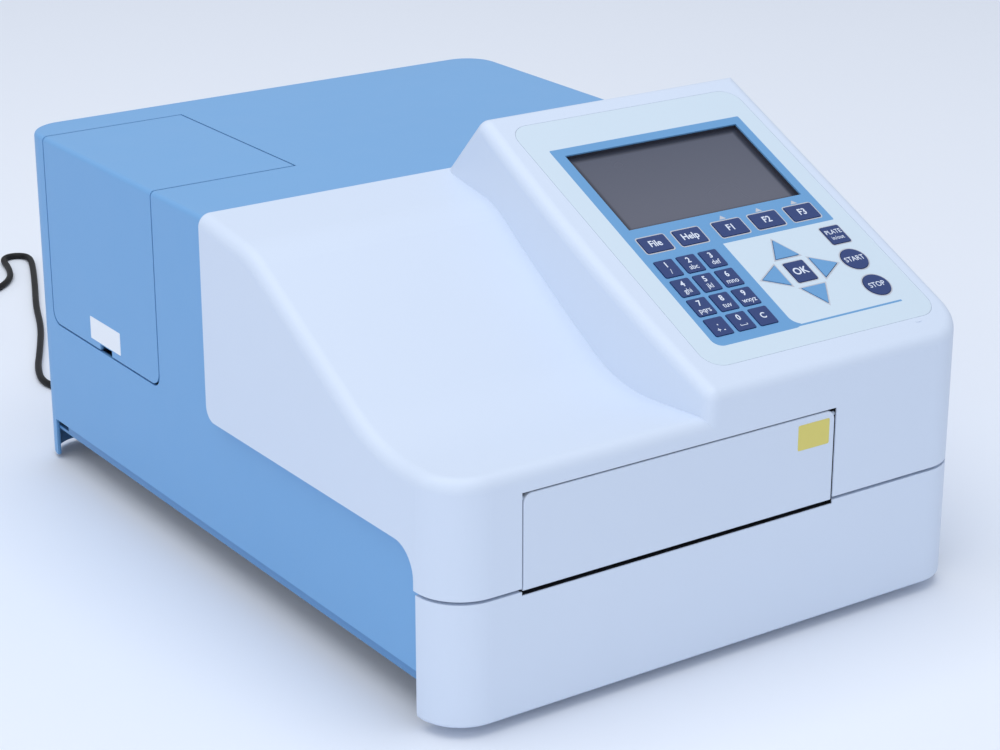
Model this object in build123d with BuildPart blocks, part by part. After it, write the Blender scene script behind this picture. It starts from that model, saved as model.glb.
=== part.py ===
from build123d import *
import os
from math import cos, radians, sin, tan

os.makedirs("parts", exist_ok=True)

# Benchtop microplate reader.
# Frame: X to the right, Y from the front face to the back, Z up. The origin is on the bench, under the
# middle of the footprint.

# ---------------------------------------------------------------- driving dimensions (mm)
# Envelope
width = 290.0               # over the white front mouldings
depth = 400.0               # front face to rear face
corner_radius = 22.0        # upright front corners
# Front base moulding
base_bottom = 5.0
base_wrap = 22.5            # how far it wraps round onto the sides
base_wall = 3.0
base_fillet = 2.0
seam_z = 62.0               # top of the base
seam_gap = 1.5
# Front cover moulding
cover_wall = 3.0
cover_length = 201.0
plateau_z = 181.0           # top at the rear edge
brow = (157.0, 175.0)       # behind the front face, and Z, where the roof starts to fall
brow_radius = 50.0
ledge_length = 54.5         # behind the front face
ledge_step = 10.9           # from the console's front edge down to the ledge
ledge_radius = 80.0
flank_z = 82.0              # lower edge on the sides
flank_rear_radius = 7.0
flank_front_radius = 14.0
moulding_radius = 6.0
# Console on the cover
console_reach = 173.0           # from the front face to the panel's datum
console_height = 209.0          # Z of the datum
console_span = 145.0            # from the datum to the right side
console_rise = 3.9              # from the datum up the panel to its sharp upper edge
console_pitch = 25.2            # degrees
console_root_z = 100.0
console_draft = 8.0             # degrees
console_arc = ((-21.0, 230.0), (-23.0, 105.0), (-7.5, -30.0))     # left wall: x, behind front face
# Overlay and keys, in console coordinates: x to the right, s down the slope from the upper edge
overlay_left = 1.0
overlay_right = 135.5
overlay_top = 6.5
overlay_bottom = 177.0
overlay_thick = 0.8
overlay_radius = 10.0
overlay_play = 0.15         # in its recess
screen = (18.0, 31.5, 102.4, 55.2)      # x, s, width, height
screen_depth = 2.4
screen_frame = (3.5, 2.0, 7.0)          # beyond the opening at the sides and ends, deep
key_board_edge = (8.0, 3.5, 162.5)      # from the overlay's sides, above the function row, lower s
key_board_rim = 1.5
key_bow = 0.8               # corner radius of a key
key_gap = 0.25
key_proud = 0.4
key_thick = 1.7
key_float = 0.5             # free height under a key
function_row = (93.3, 10.0)             # s, height
function_keys = {"key_file": (17.4, 15.0), "key_help": (37.5, 15.0), "key_f1": (60.8, 16.2),
                 "key_f2": (82.4, 16.2), "key_f3": (104.0, 16.2)}
pad_corner = (16.0, 109.3)
pad_key = (10.1, 11.0)
pad_pitch = (12.7, 13.3)
pad_names = ("1", "2", "3", "4", "5", "6", "7", "8", "9", "sign", "0", "clear")
ok_key = (78.2, 127.5, 11.5, 13.1)      # x, s, width, height
door_key = (112.9, 111.0, 11.0, 11.7)
arrow_length = 11.8
arrow_base = 13.6
arrow_centre = (83.8, 134.1)
arrow_reach = (10.4, 10.3)  # from the centre to a triangle's base, across and along
round_keys = {"key_start": (116.7, 134.2), "key_stop": (116.0, 152.6)}
round_key_radius = 6.8
# Blue sheet-metal casing
sheet = 1.8
casing_inset = 4.5          # its sides, inside the white mouldings
casing_top = 177.6
casing_corner = 19.0        # upright rear corners
casing_bend = 2.5
side_bottom = 22.8
skirt_bottom = 2.5          # rear corners and skirt reach the bench
skirt_length = 19.0
cover_overlap = 2.0
# Lamp hatch
hatch_length = 118.0
hatch_setback = 25.0        # from the rear face
hatch_width = 83.0          # from the left side of the mouldings
hatch_bottom = 79.0
hatch_gap = 0.5             # half of the joint round it
hatch_radius = 7.0
hatch_notch = (114.5, 13.0, 3.5)        # Y, length, height
arm_drop = 26.0
arm_reach = 27.0
arm_width = 5.0
arm_thick = 4.0
arm_bend = 5.0
arm_inset = 7.0             # from the hatch's edges
lug_play = 0.3
lug = (12.0, 4.0, 5.0)      # across, thick, below the pivot
pivot_inset = 22.0
pivot_depth = 7.0
pivot_radius = 2.0
# Plate door
mech_x = -22.0              # middle of the plate path
door_side_room = 12.0       # beside the tray
door_sill = 60.2
door_lintel = 10.2          # from the ledge down to the opening
door_gap = 0.8
door_thick = 3.0
door_corner = 4.5
door_pin_radius = 1.0
door_pin_y = 2.2            # axis behind the front face
door_pin_drop = 3.3         # below the top of the opening
# Chassis
pan_bottom = 17.3
pan_sheet = 1.5
pan_front_room = 10.0       # behind the front face
pan_flange = 20.0           # up the sides
pan_flange_room = 30.0      # from the rear face
rear_flange = 9.0
pan_corner = 11.5           # cut off the rear corners
pan_tongue_inset = 27.0     # of the narrow front end, from the sides
tab = 3.0
rod_tab = (18.0, 9.0)       # across, above a rod
idler_tab = (20.0, 8.0)
motor_boss_hole = 11.2
board_post = 3.0            # radius of the posts under the boards
pan_slot = (4.0, 30.0)
pan_slot_pitch = (9.0, 40.0)
pan_slot_count = (8, 2)
foot_radius = 9.0
foot_inset = (45.0, 35.0)   # from the sides and the ends
# Tray mechanism
rod_radius = 4.0
rod_room = 7.0              # between a rod and the tray
rod_z = 66.0
rod_rear_room = 72.0        # from the rear face
running = 0.05
nest = (128.4, 86.2, 5.0)   # across, along, deep
nest_border = 8.8
nest_lip = 4.9
tray_length = 110.0
tray_bottom = 64.0
tray_thick = 10.0
nest_window = (114.0, 74.0)
carriage_room = 102.0       # from the rear face to its front
carriage_length = 20.0
carriage_z = (58.0, 74.0)
bearing_wall = 4.0          # of the carriage, outside a rod
belt_offset = 99.0          # from the middle of the plate path
belt_width = 6.0
belt_thick = 1.2
pulley_radius = 8.0
pulley_z = 60.0
pulley_width = 8.0
pulley_play = 0.3
flange_radius = 10.5
drive_room = 60.0           # from the rear face
idler_room = 35.0           # from the front face
shaft_radius = 2.5
axle_radius = 3.0
motor_side = 42.0
motor_length = 34.0
# Optics
read_inset = 11.6           # of the read row, from the nest's front edge
well_pitch = 9.0
channels = 12
bench_z = 92.0
bench_sheet = 2.0
bench_margin = (11.0, 53.0) # from the left and the right side
bench_room = (140.0, 25.0)  # from the front and the rear face
post_radius = 4.0
post_inset = 7.0
head = (112.0, 24.0, 22.0)
barrel_radius = 3.0
detector_z = 50.0
detector_size = (136.0, 24.0)
board = 1.6
wheel_inset = 45.0          # from the left side
wheel_room = 104.0          # from the rear face
wheel_z = 130.0
wheel_radius = 32.0
wheel_thick = 5.0
filter_count = 8
filter_radius = 6.0
filter_pitch = 23.0
filter_thick = 3.0
wheel_motor_radius = 14.0
wheel_motor_length = 30.0
fibre_radius = 4.0
fibre_bends = (12.0, 14.0, 9.0)
lamp_room = 7.0             # from the filter wheel's rear face
lamp_radius = 15.0
lamp_length = 22.0
lamp_wall = 1.4
socket_size = (22.0, 10.0, 22.0)
# Main board
main_board_size = (140.0, 84.0)
main_board_place = (-10.0, 76.0)
main_board_lift = 8.0
chip_size = (26.0, 26.0, 2.0)
power_stage = (20.0, 18.0, 9.0)
header_size = (40.0, 8.0, 7.0)
capacitor = (5.0, 12.0)     # radius, height
# Rear panel
panel_depth = 6.0           # its face, inside the casing's rear face
panel_room = 5.5            # beside the casing's rounded corners
panel_z = (24.0, 174.0)
panel_rim = 5.0
window_lap = (8.0, 6.0)     # of the casing's opening over the panel, at the sides and the ends
inlet_place = (54.0, 37.0)  # from the panel's left end, and Z
port_place = (94.0, 40.0)
socket_flange = 1.5
socket_depth = 16.0
inlet_body = (14.0, 12.0)
inlet_bore = 3.2            # radius
inlet_pin = 1.0
port_body = (13.0, 12.0)
port_mouth = (8.6, 8.0, 11.0)           # across, high, deep
switch_place = (22.0, 46.0)
switch_size = (13.0, 19.0)
switch_tilt = 8.0           # degrees
vent_slot = (3.0, 26.0)
vent_pitch = (7.0, 34.0)
vent_count = (11, 3)
vent_place = (54.0, 112.0)
# Supply lead
lead_diameter = 4.0
plug_radius = 5.0
plug_length = 17.0
relief_length = 14.0
coil_turn = 44.0            # across, at the middle of its turns
coil_band = 9.0
coil_height = 12.6
coil_centre = (-141.0, 417.0)
connector_length = 28.0
connector_radius = 5.0
connector_start = (-122.0, 387.0)

# ---------------------------------------------------------------- derived places
front_y = -depth / 2
rear_y = depth / 2
side_x = width / 2
cover_rear = front_y + cover_length
ledge_y = front_y + ledge_length
casing_x = side_x - casing_inset
inner_x = casing_x - sheet
pan_top = pan_bottom + pan_sheet
console_slope = tan(radians(console_pitch))
console_x = side_x - console_span
console_top = (
    front_y + console_reach + console_rise * cos(radians(console_pitch)),
    console_height + console_rise * sin(radians(console_pitch)),
)
console_front_z = console_top[1] - console_slope * (console_top[0] - front_y)
ledge_z = console_front_z - ledge_step
door_top = ledge_z - door_lintel
door_pin_z = door_top - door_pin_drop
console_plane = Plane(
    origin=(console_x, front_y + console_reach, console_height),
    x_dir=(1, 0, 0),
    z_dir=(0, -sin(radians(console_pitch)), cos(radians(console_pitch))),
)
casing_front = front_y + base_wrap
hatch_rear = rear_y - hatch_setback
hatch_front = hatch_rear - hatch_length
hatch_right = hatch_width - side_x
pivot_x = hatch_right + pivot_inset
pivot_z = casing_top - pivot_depth
panel_y = rear_y - panel_depth
pan_rear = panel_y - sheet
pan_front = front_y + pan_front_room
pan_tongue = side_x - pan_tongue_inset
foot_place = (side_x - foot_inset[0], rear_y - foot_inset[1])
tray_width = nest[0] + 2 * nest_border
rod_gauge = tray_width + 2 * (rod_room + rod_radius)
rod_x = (mech_x - rod_gauge / 2, mech_x + rod_gauge / 2)
rod_rear = rear_y - rod_rear_room
door_left = mech_x - tray_width / 2 - door_side_room
door_right = mech_x + tray_width / 2 + door_side_room
carriage_front = rear_y - carriage_room
carriage_width = rod_gauge + 2 * (rod_radius + bearing_wall)
tray_front = carriage_front - tray_length
read_y = tray_front + nest_lip + read_inset
belt_x = mech_x + belt_offset
drive_y = rear_y - drive_room
idler_y = front_y + idler_room
bench_x = (bench_margin[0] - side_x, side_x - bench_margin[1])
bench_y = (front_y + bench_room[0], rear_y - bench_room[1])
wheel_x = wheel_inset - side_x
wheel_y = rear_y - wheel_room
beam_z = wheel_z + filter_pitch
lamp_y = wheel_y + wheel_thick + lamp_room
panel_half = casing_x - casing_corner - panel_room
rear_window = (panel_half - window_lap[0], panel_z[0] + window_lap[1], panel_z[1] - window_lap[1])
inlet = (inlet_place[0] - panel_half, inlet_place[1])
port = (port_place[0] - panel_half, port_place[1])
switch = (switch_place[0] - panel_half, switch_place[1])
vent_centre = (vent_place[0] - panel_half, vent_place[1])


def inset(path, distance):
    """Open outline moved sideways to the left of its direction, with mitred corners."""
    normals = []
    for start, end in zip(path, path[1:]):
        along = (Vector(*end) - Vector(*start)).normalized()
        normals.append(Vector(-along.Y, along.X))
    moved = []
    for index, point in enumerate(path):
        before = normals[max(index - 1, 0)]
        after = normals[min(index, len(normals) - 1)]
        shift = (before + after) * (distance / (1 + before.dot(after)))
        moved.append((point[0] + shift.X, point[1] + shift.Y))
    return moved


def block(low, high, mode=Mode.ADD):
    """Rectangular block between two corners, in the part being built."""
    with Locations([tuple((a + b) / 2 for a, b in zip(low, high))]):
        Box(*(b - a for a, b in zip(low, high)), mode=mode)


def rod(start, direction, radius, length, mode=Mode.ADD):
    """Round rod from a point along a direction, in the part being built."""
    with BuildSketch(Plane(origin=start, z_dir=direction)) as section:
        Circle(radius)
    extrude(section.sketch, amount=length, mode=mode)


plan_rear = cover_rear + 29.0           # well behind the front mouldings


def front_plan(outset):
    """Plan of the front mouldings, with rounded front corners; outset is negative for inner walls."""
    with BuildSketch() as plan:
        with Locations((0, (front_y + plan_rear) / 2)):
            Rectangle(width + 2 * outset, plan_rear - front_y + 2 * outset)
        front = plan.vertices().group_by(Axis.Y)[0]
        fillet(front, corner_radius + outset)
    return plan.sketch


# ---------------------------------------------------------------- front mouldings
with BuildPart() as front_base:
    with BuildSketch(Plane.XY.offset(base_bottom)):
        add(front_plan(0))
    extrude(amount=seam_z - base_bottom)
    underside = front_base.edges().group_by(Axis.Z)[0]
    fillet(underside.filter_by(lambda e: e.center().Y < 0), base_fillet)
    block((-width, front_y + base_wrap, -1), (width, rear_y, seam_z + 1), Mode.SUBTRACT)
    with BuildSketch(Plane.XY.offset(base_bottom + base_wall)):
        add(front_plan(-base_wall))
    extrude(amount=seam_z - base_bottom - 2 * base_wall, mode=Mode.SUBTRACT)
    # Open between the two gussets that carry the cover's screw posts
    block(
        (rod_x[0] - 12, front_y + 8, seam_z - base_wall - 1),
        (belt_x + 18, rear_y, seam_z + 1), Mode.SUBTRACT,
    )
    # Sill under the plate door
    block((door_left, front_y - 1, door_sill), (door_right, front_y + 6, seam_z + 1), Mode.SUBTRACT)
    # Shelf that the chassis pan rests on
    block(
        (-pan_tongue - 2, front_y + base_wall, pan_bottom - base_wall),
        (pan_tongue + 2, front_y + base_wrap, pan_bottom),
    )
front_base.part.label = "front_base"
export_step(front_base.part, "parts/front_base.step")

roof = [
    (cover_rear, plateau_z), (front_y + brow[0], brow[1]), (ledge_y, ledge_z), (front_y, ledge_z),
    (front_y, seam_z + seam_gap),
]
flank_front = front_y + base_wrap + 1.5
with BuildPart() as cover_low:
    with BuildSketch(Plane.YZ.offset(-side_x)):
        with BuildLine():
            FilletPolyline(*roof[:4], radius=[brow_radius, ledge_radius])
            Polyline(roof[3], roof[4], (flank_front, roof[4][1]))
            FilletPolyline(
                (flank_front, roof[4][1]), (flank_front, flank_z), (cover_rear, flank_z), roof[0],
                radius=[flank_front_radius, flank_rear_radius],
            )
        make_face()
    extrude(amount=width)
    extrude(front_plan(0), amount=2 * console_top[1], mode=Mode.INTERSECT)
    shoulder = cover_low.edges().filter_by(
        lambda e: e.center().Z > ledge_z - 0.5
        and e.center().Y < cover_rear - 0.5
        and (
            abs(abs(e.center().X) - side_x) < 0.01
            or abs(e.center().Z - ledge_z) < 0.1 and e.center().Y < front_y + corner_radius
        )
    )
    fillet(shoulder, moulding_radius)


def console_block(path, left_shift):
    """Console wedge with its curved, drafted left wall; left_shift moves that wall to the right."""
    with BuildPart() as wedge:
        with BuildSketch(Plane.YZ.offset(-side_x)):
            with BuildLine():
                Polyline(*path, (path[-1][0], console_root_z), (path[0][0], console_root_z), path[0])
            make_face()
        extrude(amount=width)
        with BuildSketch(Plane.XY.offset(console_root_z)):
            with BuildLine():
                wall = ThreePointArc(*[(x + console_x + left_shift, front_y + y) for x, y in console_arc])
                Polyline(wall @ 1, (width, (wall @ 1).Y), (width, (wall @ 0).Y), wall @ 0)
            make_face()
        extrude(amount=side_x, taper=console_draft, mode=Mode.INTERSECT)
    return wedge.part


console_path = [(cover_rear, plateau_z), console_top, (front_y, console_front_z)]
with BuildPart() as cover_console:
    add(console_block(console_path, 0))
    extrude(front_plan(0), amount=2 * console_top[1], mode=Mode.INTERSECT)
    panel_face = cover_console.faces().filter_by(lambda f: f.normal_at().Z > 0.85).sort_by(SortBy.AREA)[-1]
    wall_edges = cover_console.edges().filter_by(
        lambda e: e.center().X < 0
        and (e.center().Y < front_y + 0.5 or e.center().Y > console_top[0] + 2)
        and abs(e.tangent_at(0.5).Z) > 0.5
    )
    fillet(list(panel_face.edges()) + list(wall_edges), moulding_radius)

with BuildPart() as cover_hollow:
    inner_roof = inset(roof, cover_wall)
    with BuildSketch(Plane.YZ.offset(-side_x)):
        with BuildLine():
            FilletPolyline(*inner_roof[:4], radius=[brow_radius - cover_wall, ledge_radius + cover_wall])
            Polyline(
                inner_roof[3], (inner_roof[3][0], seam_z - 20), (cover_rear + 20, seam_z - 20),
                (cover_rear + 20, inner_roof[0][1]), inner_roof[0],
            )
        make_face()
    extrude(amount=width)
    add(console_block(inset(console_path, cover_wall), cover_wall))
    extrude(front_plan(-cover_wall), amount=2 * console_top[1], mode=Mode.INTERSECT)

screw_posts = ((15 - side_x, front_y + 14), (side_x - 25, front_y + 14))
with BuildPart() as front_cover:
    add(cover_low.part)
    add(cover_console.part)
    add(cover_hollow.part, mode=Mode.SUBTRACT)
    # Screw posts that stand on the base
    for x, y in screw_posts:
        roof_z = ledge_z if x < 0 else console_front_z + console_slope * (y - front_y)
        rod((x, y, seam_z), (0, 0, 1), post_radius, roof_z - cover_wall / 2 - seam_z)
    # Door opening, with a boss at each end for the door's pins
    for end in (door_left - 4, door_right + 4):
        block((end - 4, front_y + 1, door_pin_z - 5), (end + 4, front_y + 7, door_pin_z + 5))
    block((door_left, front_y - 1, seam_z), (door_right, front_y + 12, door_top), Mode.SUBTRACT)
    rod(
        (door_left - 6, front_y + door_pin_y, door_pin_z), (1, 0, 0),
        door_pin_radius + running, door_right - door_left + 12, Mode.SUBTRACT,
    )
    # Recess for the overlay and the window behind it
    with BuildSketch(console_plane):
        with Locations(((overlay_left + overlay_right) / 2, -(overlay_top + overlay_bottom) / 2)):
            RectangleRounded(
                overlay_right - overlay_left, overlay_bottom - overlay_top, overlay_radius
            )
    extrude(amount=-overlay_thick, mode=Mode.SUBTRACT)
    with BuildSketch(console_plane):
        with Locations(((overlay_left + overlay_right) / 2, -(screen[1] + key_board_edge[2]) / 2)):
            Rectangle(overlay_right - overlay_left - 14, key_board_edge[2] - screen[1] + 10)
    extrude(amount=-3 * cover_wall, mode=Mode.SUBTRACT)
front_cover.part.label = "front_cover"
export_step(front_cover.part, "parts/front_cover.step")

# ---------------------------------------------------------------- blue casing and hatch
with BuildPart() as casing_form:
    with BuildSketch(Plane.XY.offset(skirt_bottom)) as outline:
        with Locations((0, (casing_front + rear_y) / 2)):
            Rectangle(2 * casing_x, rear_y - casing_front)
        fillet(outline.vertices().group_by(Axis.Y)[-1], casing_corner)
    extrude(amount=casing_top - skirt_bottom)
    top_edges = casing_form.edges().group_by(Axis.Z)[-1]
    fillet(top_edges.filter_by(lambda e: e.center().Y > casing_front + 1), casing_bend)
    with BuildSketch(Plane.XY.offset(-1)) as cavity:
        with Locations((0, (casing_front + rear_y) / 2)):
            Rectangle(2 * inner_x, rear_y - casing_front - 2 * sheet)
        fillet(cavity.vertices().group_by(Axis.Y)[-1], casing_corner - sheet)
        with Locations((0, casing_front)):
            Rectangle(2 * inner_x, 20)
    extrude(amount=casing_top - sheet + 1, mode=Mode.SUBTRACT)
    # Sides end above the bench; the rear corners run down to it
    block(
        (-width, casing_front - 1, -1), (width, rear_y - skirt_length, side_bottom), Mode.SUBTRACT
    )


def hatch_region(gap):
    """Region of the hatch, gap smaller all round, with rounded lower corners on the side."""
    with BuildPart() as region:
        block(
            (-width, hatch_front + gap, hatch_bottom + gap),
            (hatch_right - gap, hatch_rear - gap, casing_top + 10),
        )
        lower = region.edges().filter_by(Axis.X).group_by(Axis.Z)[0]
        fillet(lower, hatch_radius)
    return region.part


with BuildPart() as casing:
    add(casing_form.part)
    # Front edge of the roof and of the sides, under the white cover
    with BuildSketch(Plane.YZ.offset(-width)):
        with BuildLine():
            lip = cover_rear - cover_overlap
            Polyline(
                (lip, casing_top + 5), (lip, brow[1] - 25), (ledge_y, ledge_z - 16),
                (casing_front - 1, ledge_z - 20), (casing_front - 1, casing_top + 5), (lip, casing_top + 5),
            )
        make_face()
    extrude(amount=2 * width, mode=Mode.SUBTRACT)
    # Opening for the rear panel
    block(
        (-rear_window[0], rear_y - casing_corner, rear_window[1]),
        (rear_window[0], rear_y + 1, rear_window[2]), Mode.SUBTRACT,
    )
    add(hatch_region(-hatch_gap), mode=Mode.SUBTRACT)
    # Lugs for the hatch arms
    lug_width, lug_thick, lug_drop = lug
    for y in (hatch_front + arm_inset - lug_play - lug_thick, hatch_rear - arm_inset + lug_play):
        block(
            (pivot_x - lug_width / 2, y, pivot_z - lug_drop),
            (pivot_x + lug_width / 2, y + lug_thick, casing_top - sheet),
        )
        rod((pivot_x, y - 1, pivot_z), (0, 1, 0), pivot_radius + running, lug_thick + 2, Mode.SUBTRACT)
casing.part.label = "casing"
export_step(casing.part, "parts/casing.step")

with BuildPart() as lamp_hatch:
    add(casing_form.part)
    add(hatch_region(hatch_gap), mode=Mode.INTERSECT)
    # Finger notch at the lower edge
    notch_y, notch_length, notch_height = hatch_notch
    block(
        (-width, notch_y - notch_length / 2, hatch_bottom - 1),
        (-inner_x + 1, notch_y + notch_length / 2, hatch_bottom + notch_height), Mode.SUBTRACT,
    )
    # Gooseneck arms: down from the pivot, across and up to the sheet
    for y in (hatch_front + arm_inset, hatch_rear - arm_inset - arm_thick):
        with BuildSketch(Plane.XZ.offset(-y)):
            with BuildLine():
                FilletPolyline(
                    (pivot_x, pivot_z), (pivot_x, pivot_z - arm_drop),
                    (pivot_x - arm_reach, pivot_z - arm_drop),
                    (pivot_x - arm_reach, casing_top - sheet / 2),
                    radius=arm_bend,
                )
            trace(line_width=arm_width)
        extrude(amount=-arm_thick)
    for y, way in ((hatch_front + arm_inset, -1), (hatch_rear - arm_inset, 1)):
        rod((pivot_x, y, pivot_z), (0, way, 0), pivot_radius, lug_thick + 1)
lamp_hatch.part.label = "lamp_hatch"
export_step(lamp_hatch.part, "parts/lamp_hatch.step")

with BuildPart() as plate_door:
    left = door_left + door_gap
    right = door_right - door_gap
    lowest = seam_z + 0.2
    highest = door_top - door_gap
    with BuildSketch(Plane.XZ.offset(-front_y - door_thick)) as flap:
        with Locations(((left + right) / 2, (lowest + highest) / 2)):
            Rectangle(right - left, highest - lowest)
        fillet(flap.vertices().group_by(Axis.Y)[-1], door_corner)
    extrude(amount=door_thick)
    outer = plate_door.edges().group_by(Axis.Y)[0]
    fillet(outer, door_gap)
    # Stiffening rim on the back
    block(
        (left + 8, front_y + door_thick - 0.2, lowest + 3),
        (right - 8, front_y + door_thick + 1, lowest + 5),
    )
    # Pins that turn in the cover's bosses
    for end, way in ((left + 2, -1), (right - 2, 1)):
        rod((end, front_y + door_pin_y, door_pin_z), (way, 0, 0), door_pin_radius, 7)
plate_door.part.label = "plate_door"
export_step(plate_door.part, "parts/plate_door.step")

# ---------------------------------------------------------------- chassis
with BuildPart() as chassis:
    block((-inner_x, flank_front, pan_bottom), (inner_x, pan_rear, pan_top))
    chamfer(chassis.edges().filter_by(Axis.Z).group_by(Axis.Y)[-1], pan_corner)
    block((-pan_tongue, pan_front, pan_bottom), (pan_tongue, front_y + base_wrap + 2, pan_top))
    # Side and rear flanges
    for side in (-1, 1):
        low, high = sorted((side * inner_x, side * (inner_x - pan_sheet)))
        block(
            (low, flank_front, pan_bottom),
            (high, rear_y - pan_flange_room, pan_bottom + pan_flange),
        )
    block(
        (-panel_half + 6, pan_rear - pan_sheet, pan_bottom),
        (panel_half - 6, pan_rear, pan_bottom + rear_flange),
    )
    # Uprights for the guide rods
    for x in rod_x:
        for y in (pan_front, rod_rear - tab):
            block((x - rod_tab[0] / 2, y, pan_top), (x + rod_tab[0] / 2, y + tab, rod_z + rod_tab[1]))
            rod((x, y - 1, rod_z), (0, 1, 0), rod_radius, tab + 2, Mode.SUBTRACT)
    # Upright and axle for the idler pulley
    tab_x = belt_x + pulley_width / 2 + 3
    block(
        (tab_x, idler_y - idler_tab[0] / 2, pan_top),
        (tab_x + tab, idler_y + idler_tab[0] / 2, pulley_z + idler_tab[1]),
    )
    axle_start = belt_x - pulley_width / 2
    rod((axle_start, idler_y, pulley_z), (1, 0, 0), axle_radius, tab_x - axle_start + 1)
    rod((tab_x, idler_y, pulley_z), (-1, 0, 0), axle_radius + 1.5, 2.7)
    # Motor upright
    motor_half = motor_side / 2
    block(
        (tab_x, drive_y - motor_half - 2, pan_top),
        (tab_x + tab, drive_y + motor_half + 2, pulley_z + motor_half + 2),
    )
    rod((tab_x - 1, drive_y, pulley_z), (1, 0, 0), motor_boss_hole, tab + 2, Mode.SUBTRACT)
    # Posts for the detector board
    for side in (-1, 1):
        x = mech_x + side * (detector_size[0] / 2 - 2 * board_post)
        rod((x, read_y, pan_top), (0, 0, 1), board_post, detector_z - pan_top)
    # Row of cooling slots in the pan
    with BuildSketch(Plane.XY.offset(pan_bottom)):
        with Locations((wheel_x + 20, wheel_y - 6)):
            with GridLocations(*pan_slot_pitch, *pan_slot_count):
                Rectangle(*pan_slot)
    extrude(amount=pan_sheet, mode=Mode.SUBTRACT)
chassis.part.label = "chassis"
export_step(chassis.part, "parts/chassis.step")

with BuildPart() as feet:
    with BuildSketch():
        with GridLocations(2 * foot_place[0], 2 * foot_place[1], 2, 2):
            Circle(foot_radius)
    extrude(amount=pan_bottom)
    chamfer(feet.edges().group_by(Axis.Z)[0], 1)
feet.part.label = "feet"
export_step(feet.part, "parts/feet.step")

# ---------------------------------------------------------------- plate carrier and its drive
with BuildPart() as plate_tray:
    nest_y = tray_front + nest_lip + nest[1] / 2
    tray_top = tray_bottom + tray_thick
    block(
        (mech_x - tray_width / 2, tray_front, tray_bottom),
        (mech_x + tray_width / 2, carriage_front, tray_top),
    )
    fillet(plate_tray.edges().filter_by(Axis.Z).group_by(Axis.Y)[0], 6)
    with BuildSketch(Plane.XY.offset(tray_top)):
        with Locations((mech_x, nest_y)):
            RectangleRounded(nest[0], nest[1], 2.5)
            # Finger room at both sides
            with GridLocations(nest[0] - 2, 0, 2, 1):
                RectangleRounded(10, 26, 3)
    extrude(amount=-nest[2], mode=Mode.SUBTRACT)
    with BuildSketch(Plane.XY.offset(tray_bottom)):
        with Locations((mech_x, nest_y)):
            RectangleRounded(*nest_window, 4)
    extrude(amount=tray_thick, mode=Mode.SUBTRACT)
    chamfer(plate_tray.edges().group_by(Axis.Z)[-1].filter_by(GeomType.LINE).group_by(Axis.Y)[0], 1.5)
plate_tray.part.label = "plate_tray"
export_step(plate_tray.part, "parts/plate_tray.step")

with BuildPart() as tray_carriage:
    block(
        (mech_x - carriage_width / 2, carriage_front, carriage_z[0]),
        (mech_x + carriage_width / 2, carriage_front + carriage_length, carriage_z[1]),
    )
    # Lightening pocket between the bearings
    block(
        (rod_x[0] + 18, carriage_front + 4, carriage_z[0] - 1),
        (rod_x[1] - 18, carriage_front + carriage_length - 4, carriage_z[1] - 4), Mode.SUBTRACT,
    )
    for x in rod_x:
        bore_start = (x, carriage_front - 1, rod_z)
        rod(bore_start, (0, 1, 0), rod_radius + running, carriage_length + 2, Mode.SUBTRACT)
    # Clamp round the upper run of the belt
    run_z = pulley_z + pulley_radius + pulley_play
    clamp_x = mech_x + carriage_width / 2
    block(
        (clamp_x - 1, carriage_front + 2, run_z + belt_thick + pulley_play),
        (belt_x + pulley_width / 2, carriage_front + 14, carriage_z[1]),
    )
    block(
        (clamp_x - 1, carriage_front + 2, run_z - 2),
        (belt_x - belt_width / 2 - 0.5, carriage_front + 10, carriage_z[1]),
    )
    block(
        (clamp_x - 1, carriage_front + 2, run_z - 2),
        (belt_x + belt_width / 2, carriage_front + 10, run_z - pulley_play),
    )
tray_carriage.part.label = "tray_carriage"
export_step(tray_carriage.part, "parts/tray_carriage.step")

with BuildPart() as guide_rods:
    for x in rod_x:
        rod((x, pan_front, rod_z), (0, 1, 0), rod_radius, rod_rear - pan_front)
    chamfer(guide_rods.edges(), 0.5)
guide_rods.part.label = "guide_rods"
export_step(guide_rods.part, "parts/guide_rods.step")

with BuildPart() as tray_motor:
    motor_face = tab_x + tab
    with BuildSketch(Plane.YZ.offset(motor_face)):
        with Locations((drive_y, pulley_z)):
            RectangleRounded(motor_side, motor_side, 4)
    extrude(amount=motor_length)
    rod((motor_face, drive_y, pulley_z), (-1, 0, 0), motor_boss_hole - 0.2, 2)
    rod((motor_face, drive_y, pulley_z), (-1, 0, 0), shaft_radius, motor_face - belt_x + pulley_width / 2)
tray_motor.part.label = "tray_motor"
export_step(tray_motor.part, "parts/tray_motor.step")


def pulley(y, bore, teeth):
    """Flanged belt pulley across the drive line, with its groove bottoms cut between the teeth."""
    with BuildPart() as body:
        with BuildSketch(Plane.YZ.offset(belt_x - pulley_width / 2)):
            with Locations((y, pulley_z)):
                Circle(flange_radius)
        extrude(amount=pulley_width)
        with BuildSketch(Plane.YZ.offset(belt_x - pulley_width / 2 + 0.8)):
            with Locations((y, pulley_z)):
                Circle(flange_radius + 1)
                Circle(pulley_radius, mode=Mode.SUBTRACT)
                with PolarLocations(pulley_radius, teeth):
                    Rectangle(1.4, 1.4)
        extrude(amount=pulley_width - 1.6, mode=Mode.SUBTRACT)
        rod((belt_x - pulley_width, y, pulley_z), (1, 0, 0), bore, 2 * pulley_width, Mode.SUBTRACT)
    return body


drive_pulley = pulley(drive_y, shaft_radius + running, 16)
drive_pulley.part.label = "drive_pulley"
export_step(drive_pulley.part, "parts/drive_pulley.step")

idler_pulley = pulley(idler_y, axle_radius + running, 16)
idler_pulley.part.label = "idler_pulley"
export_step(idler_pulley.part, "parts/idler_pulley.step")

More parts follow.
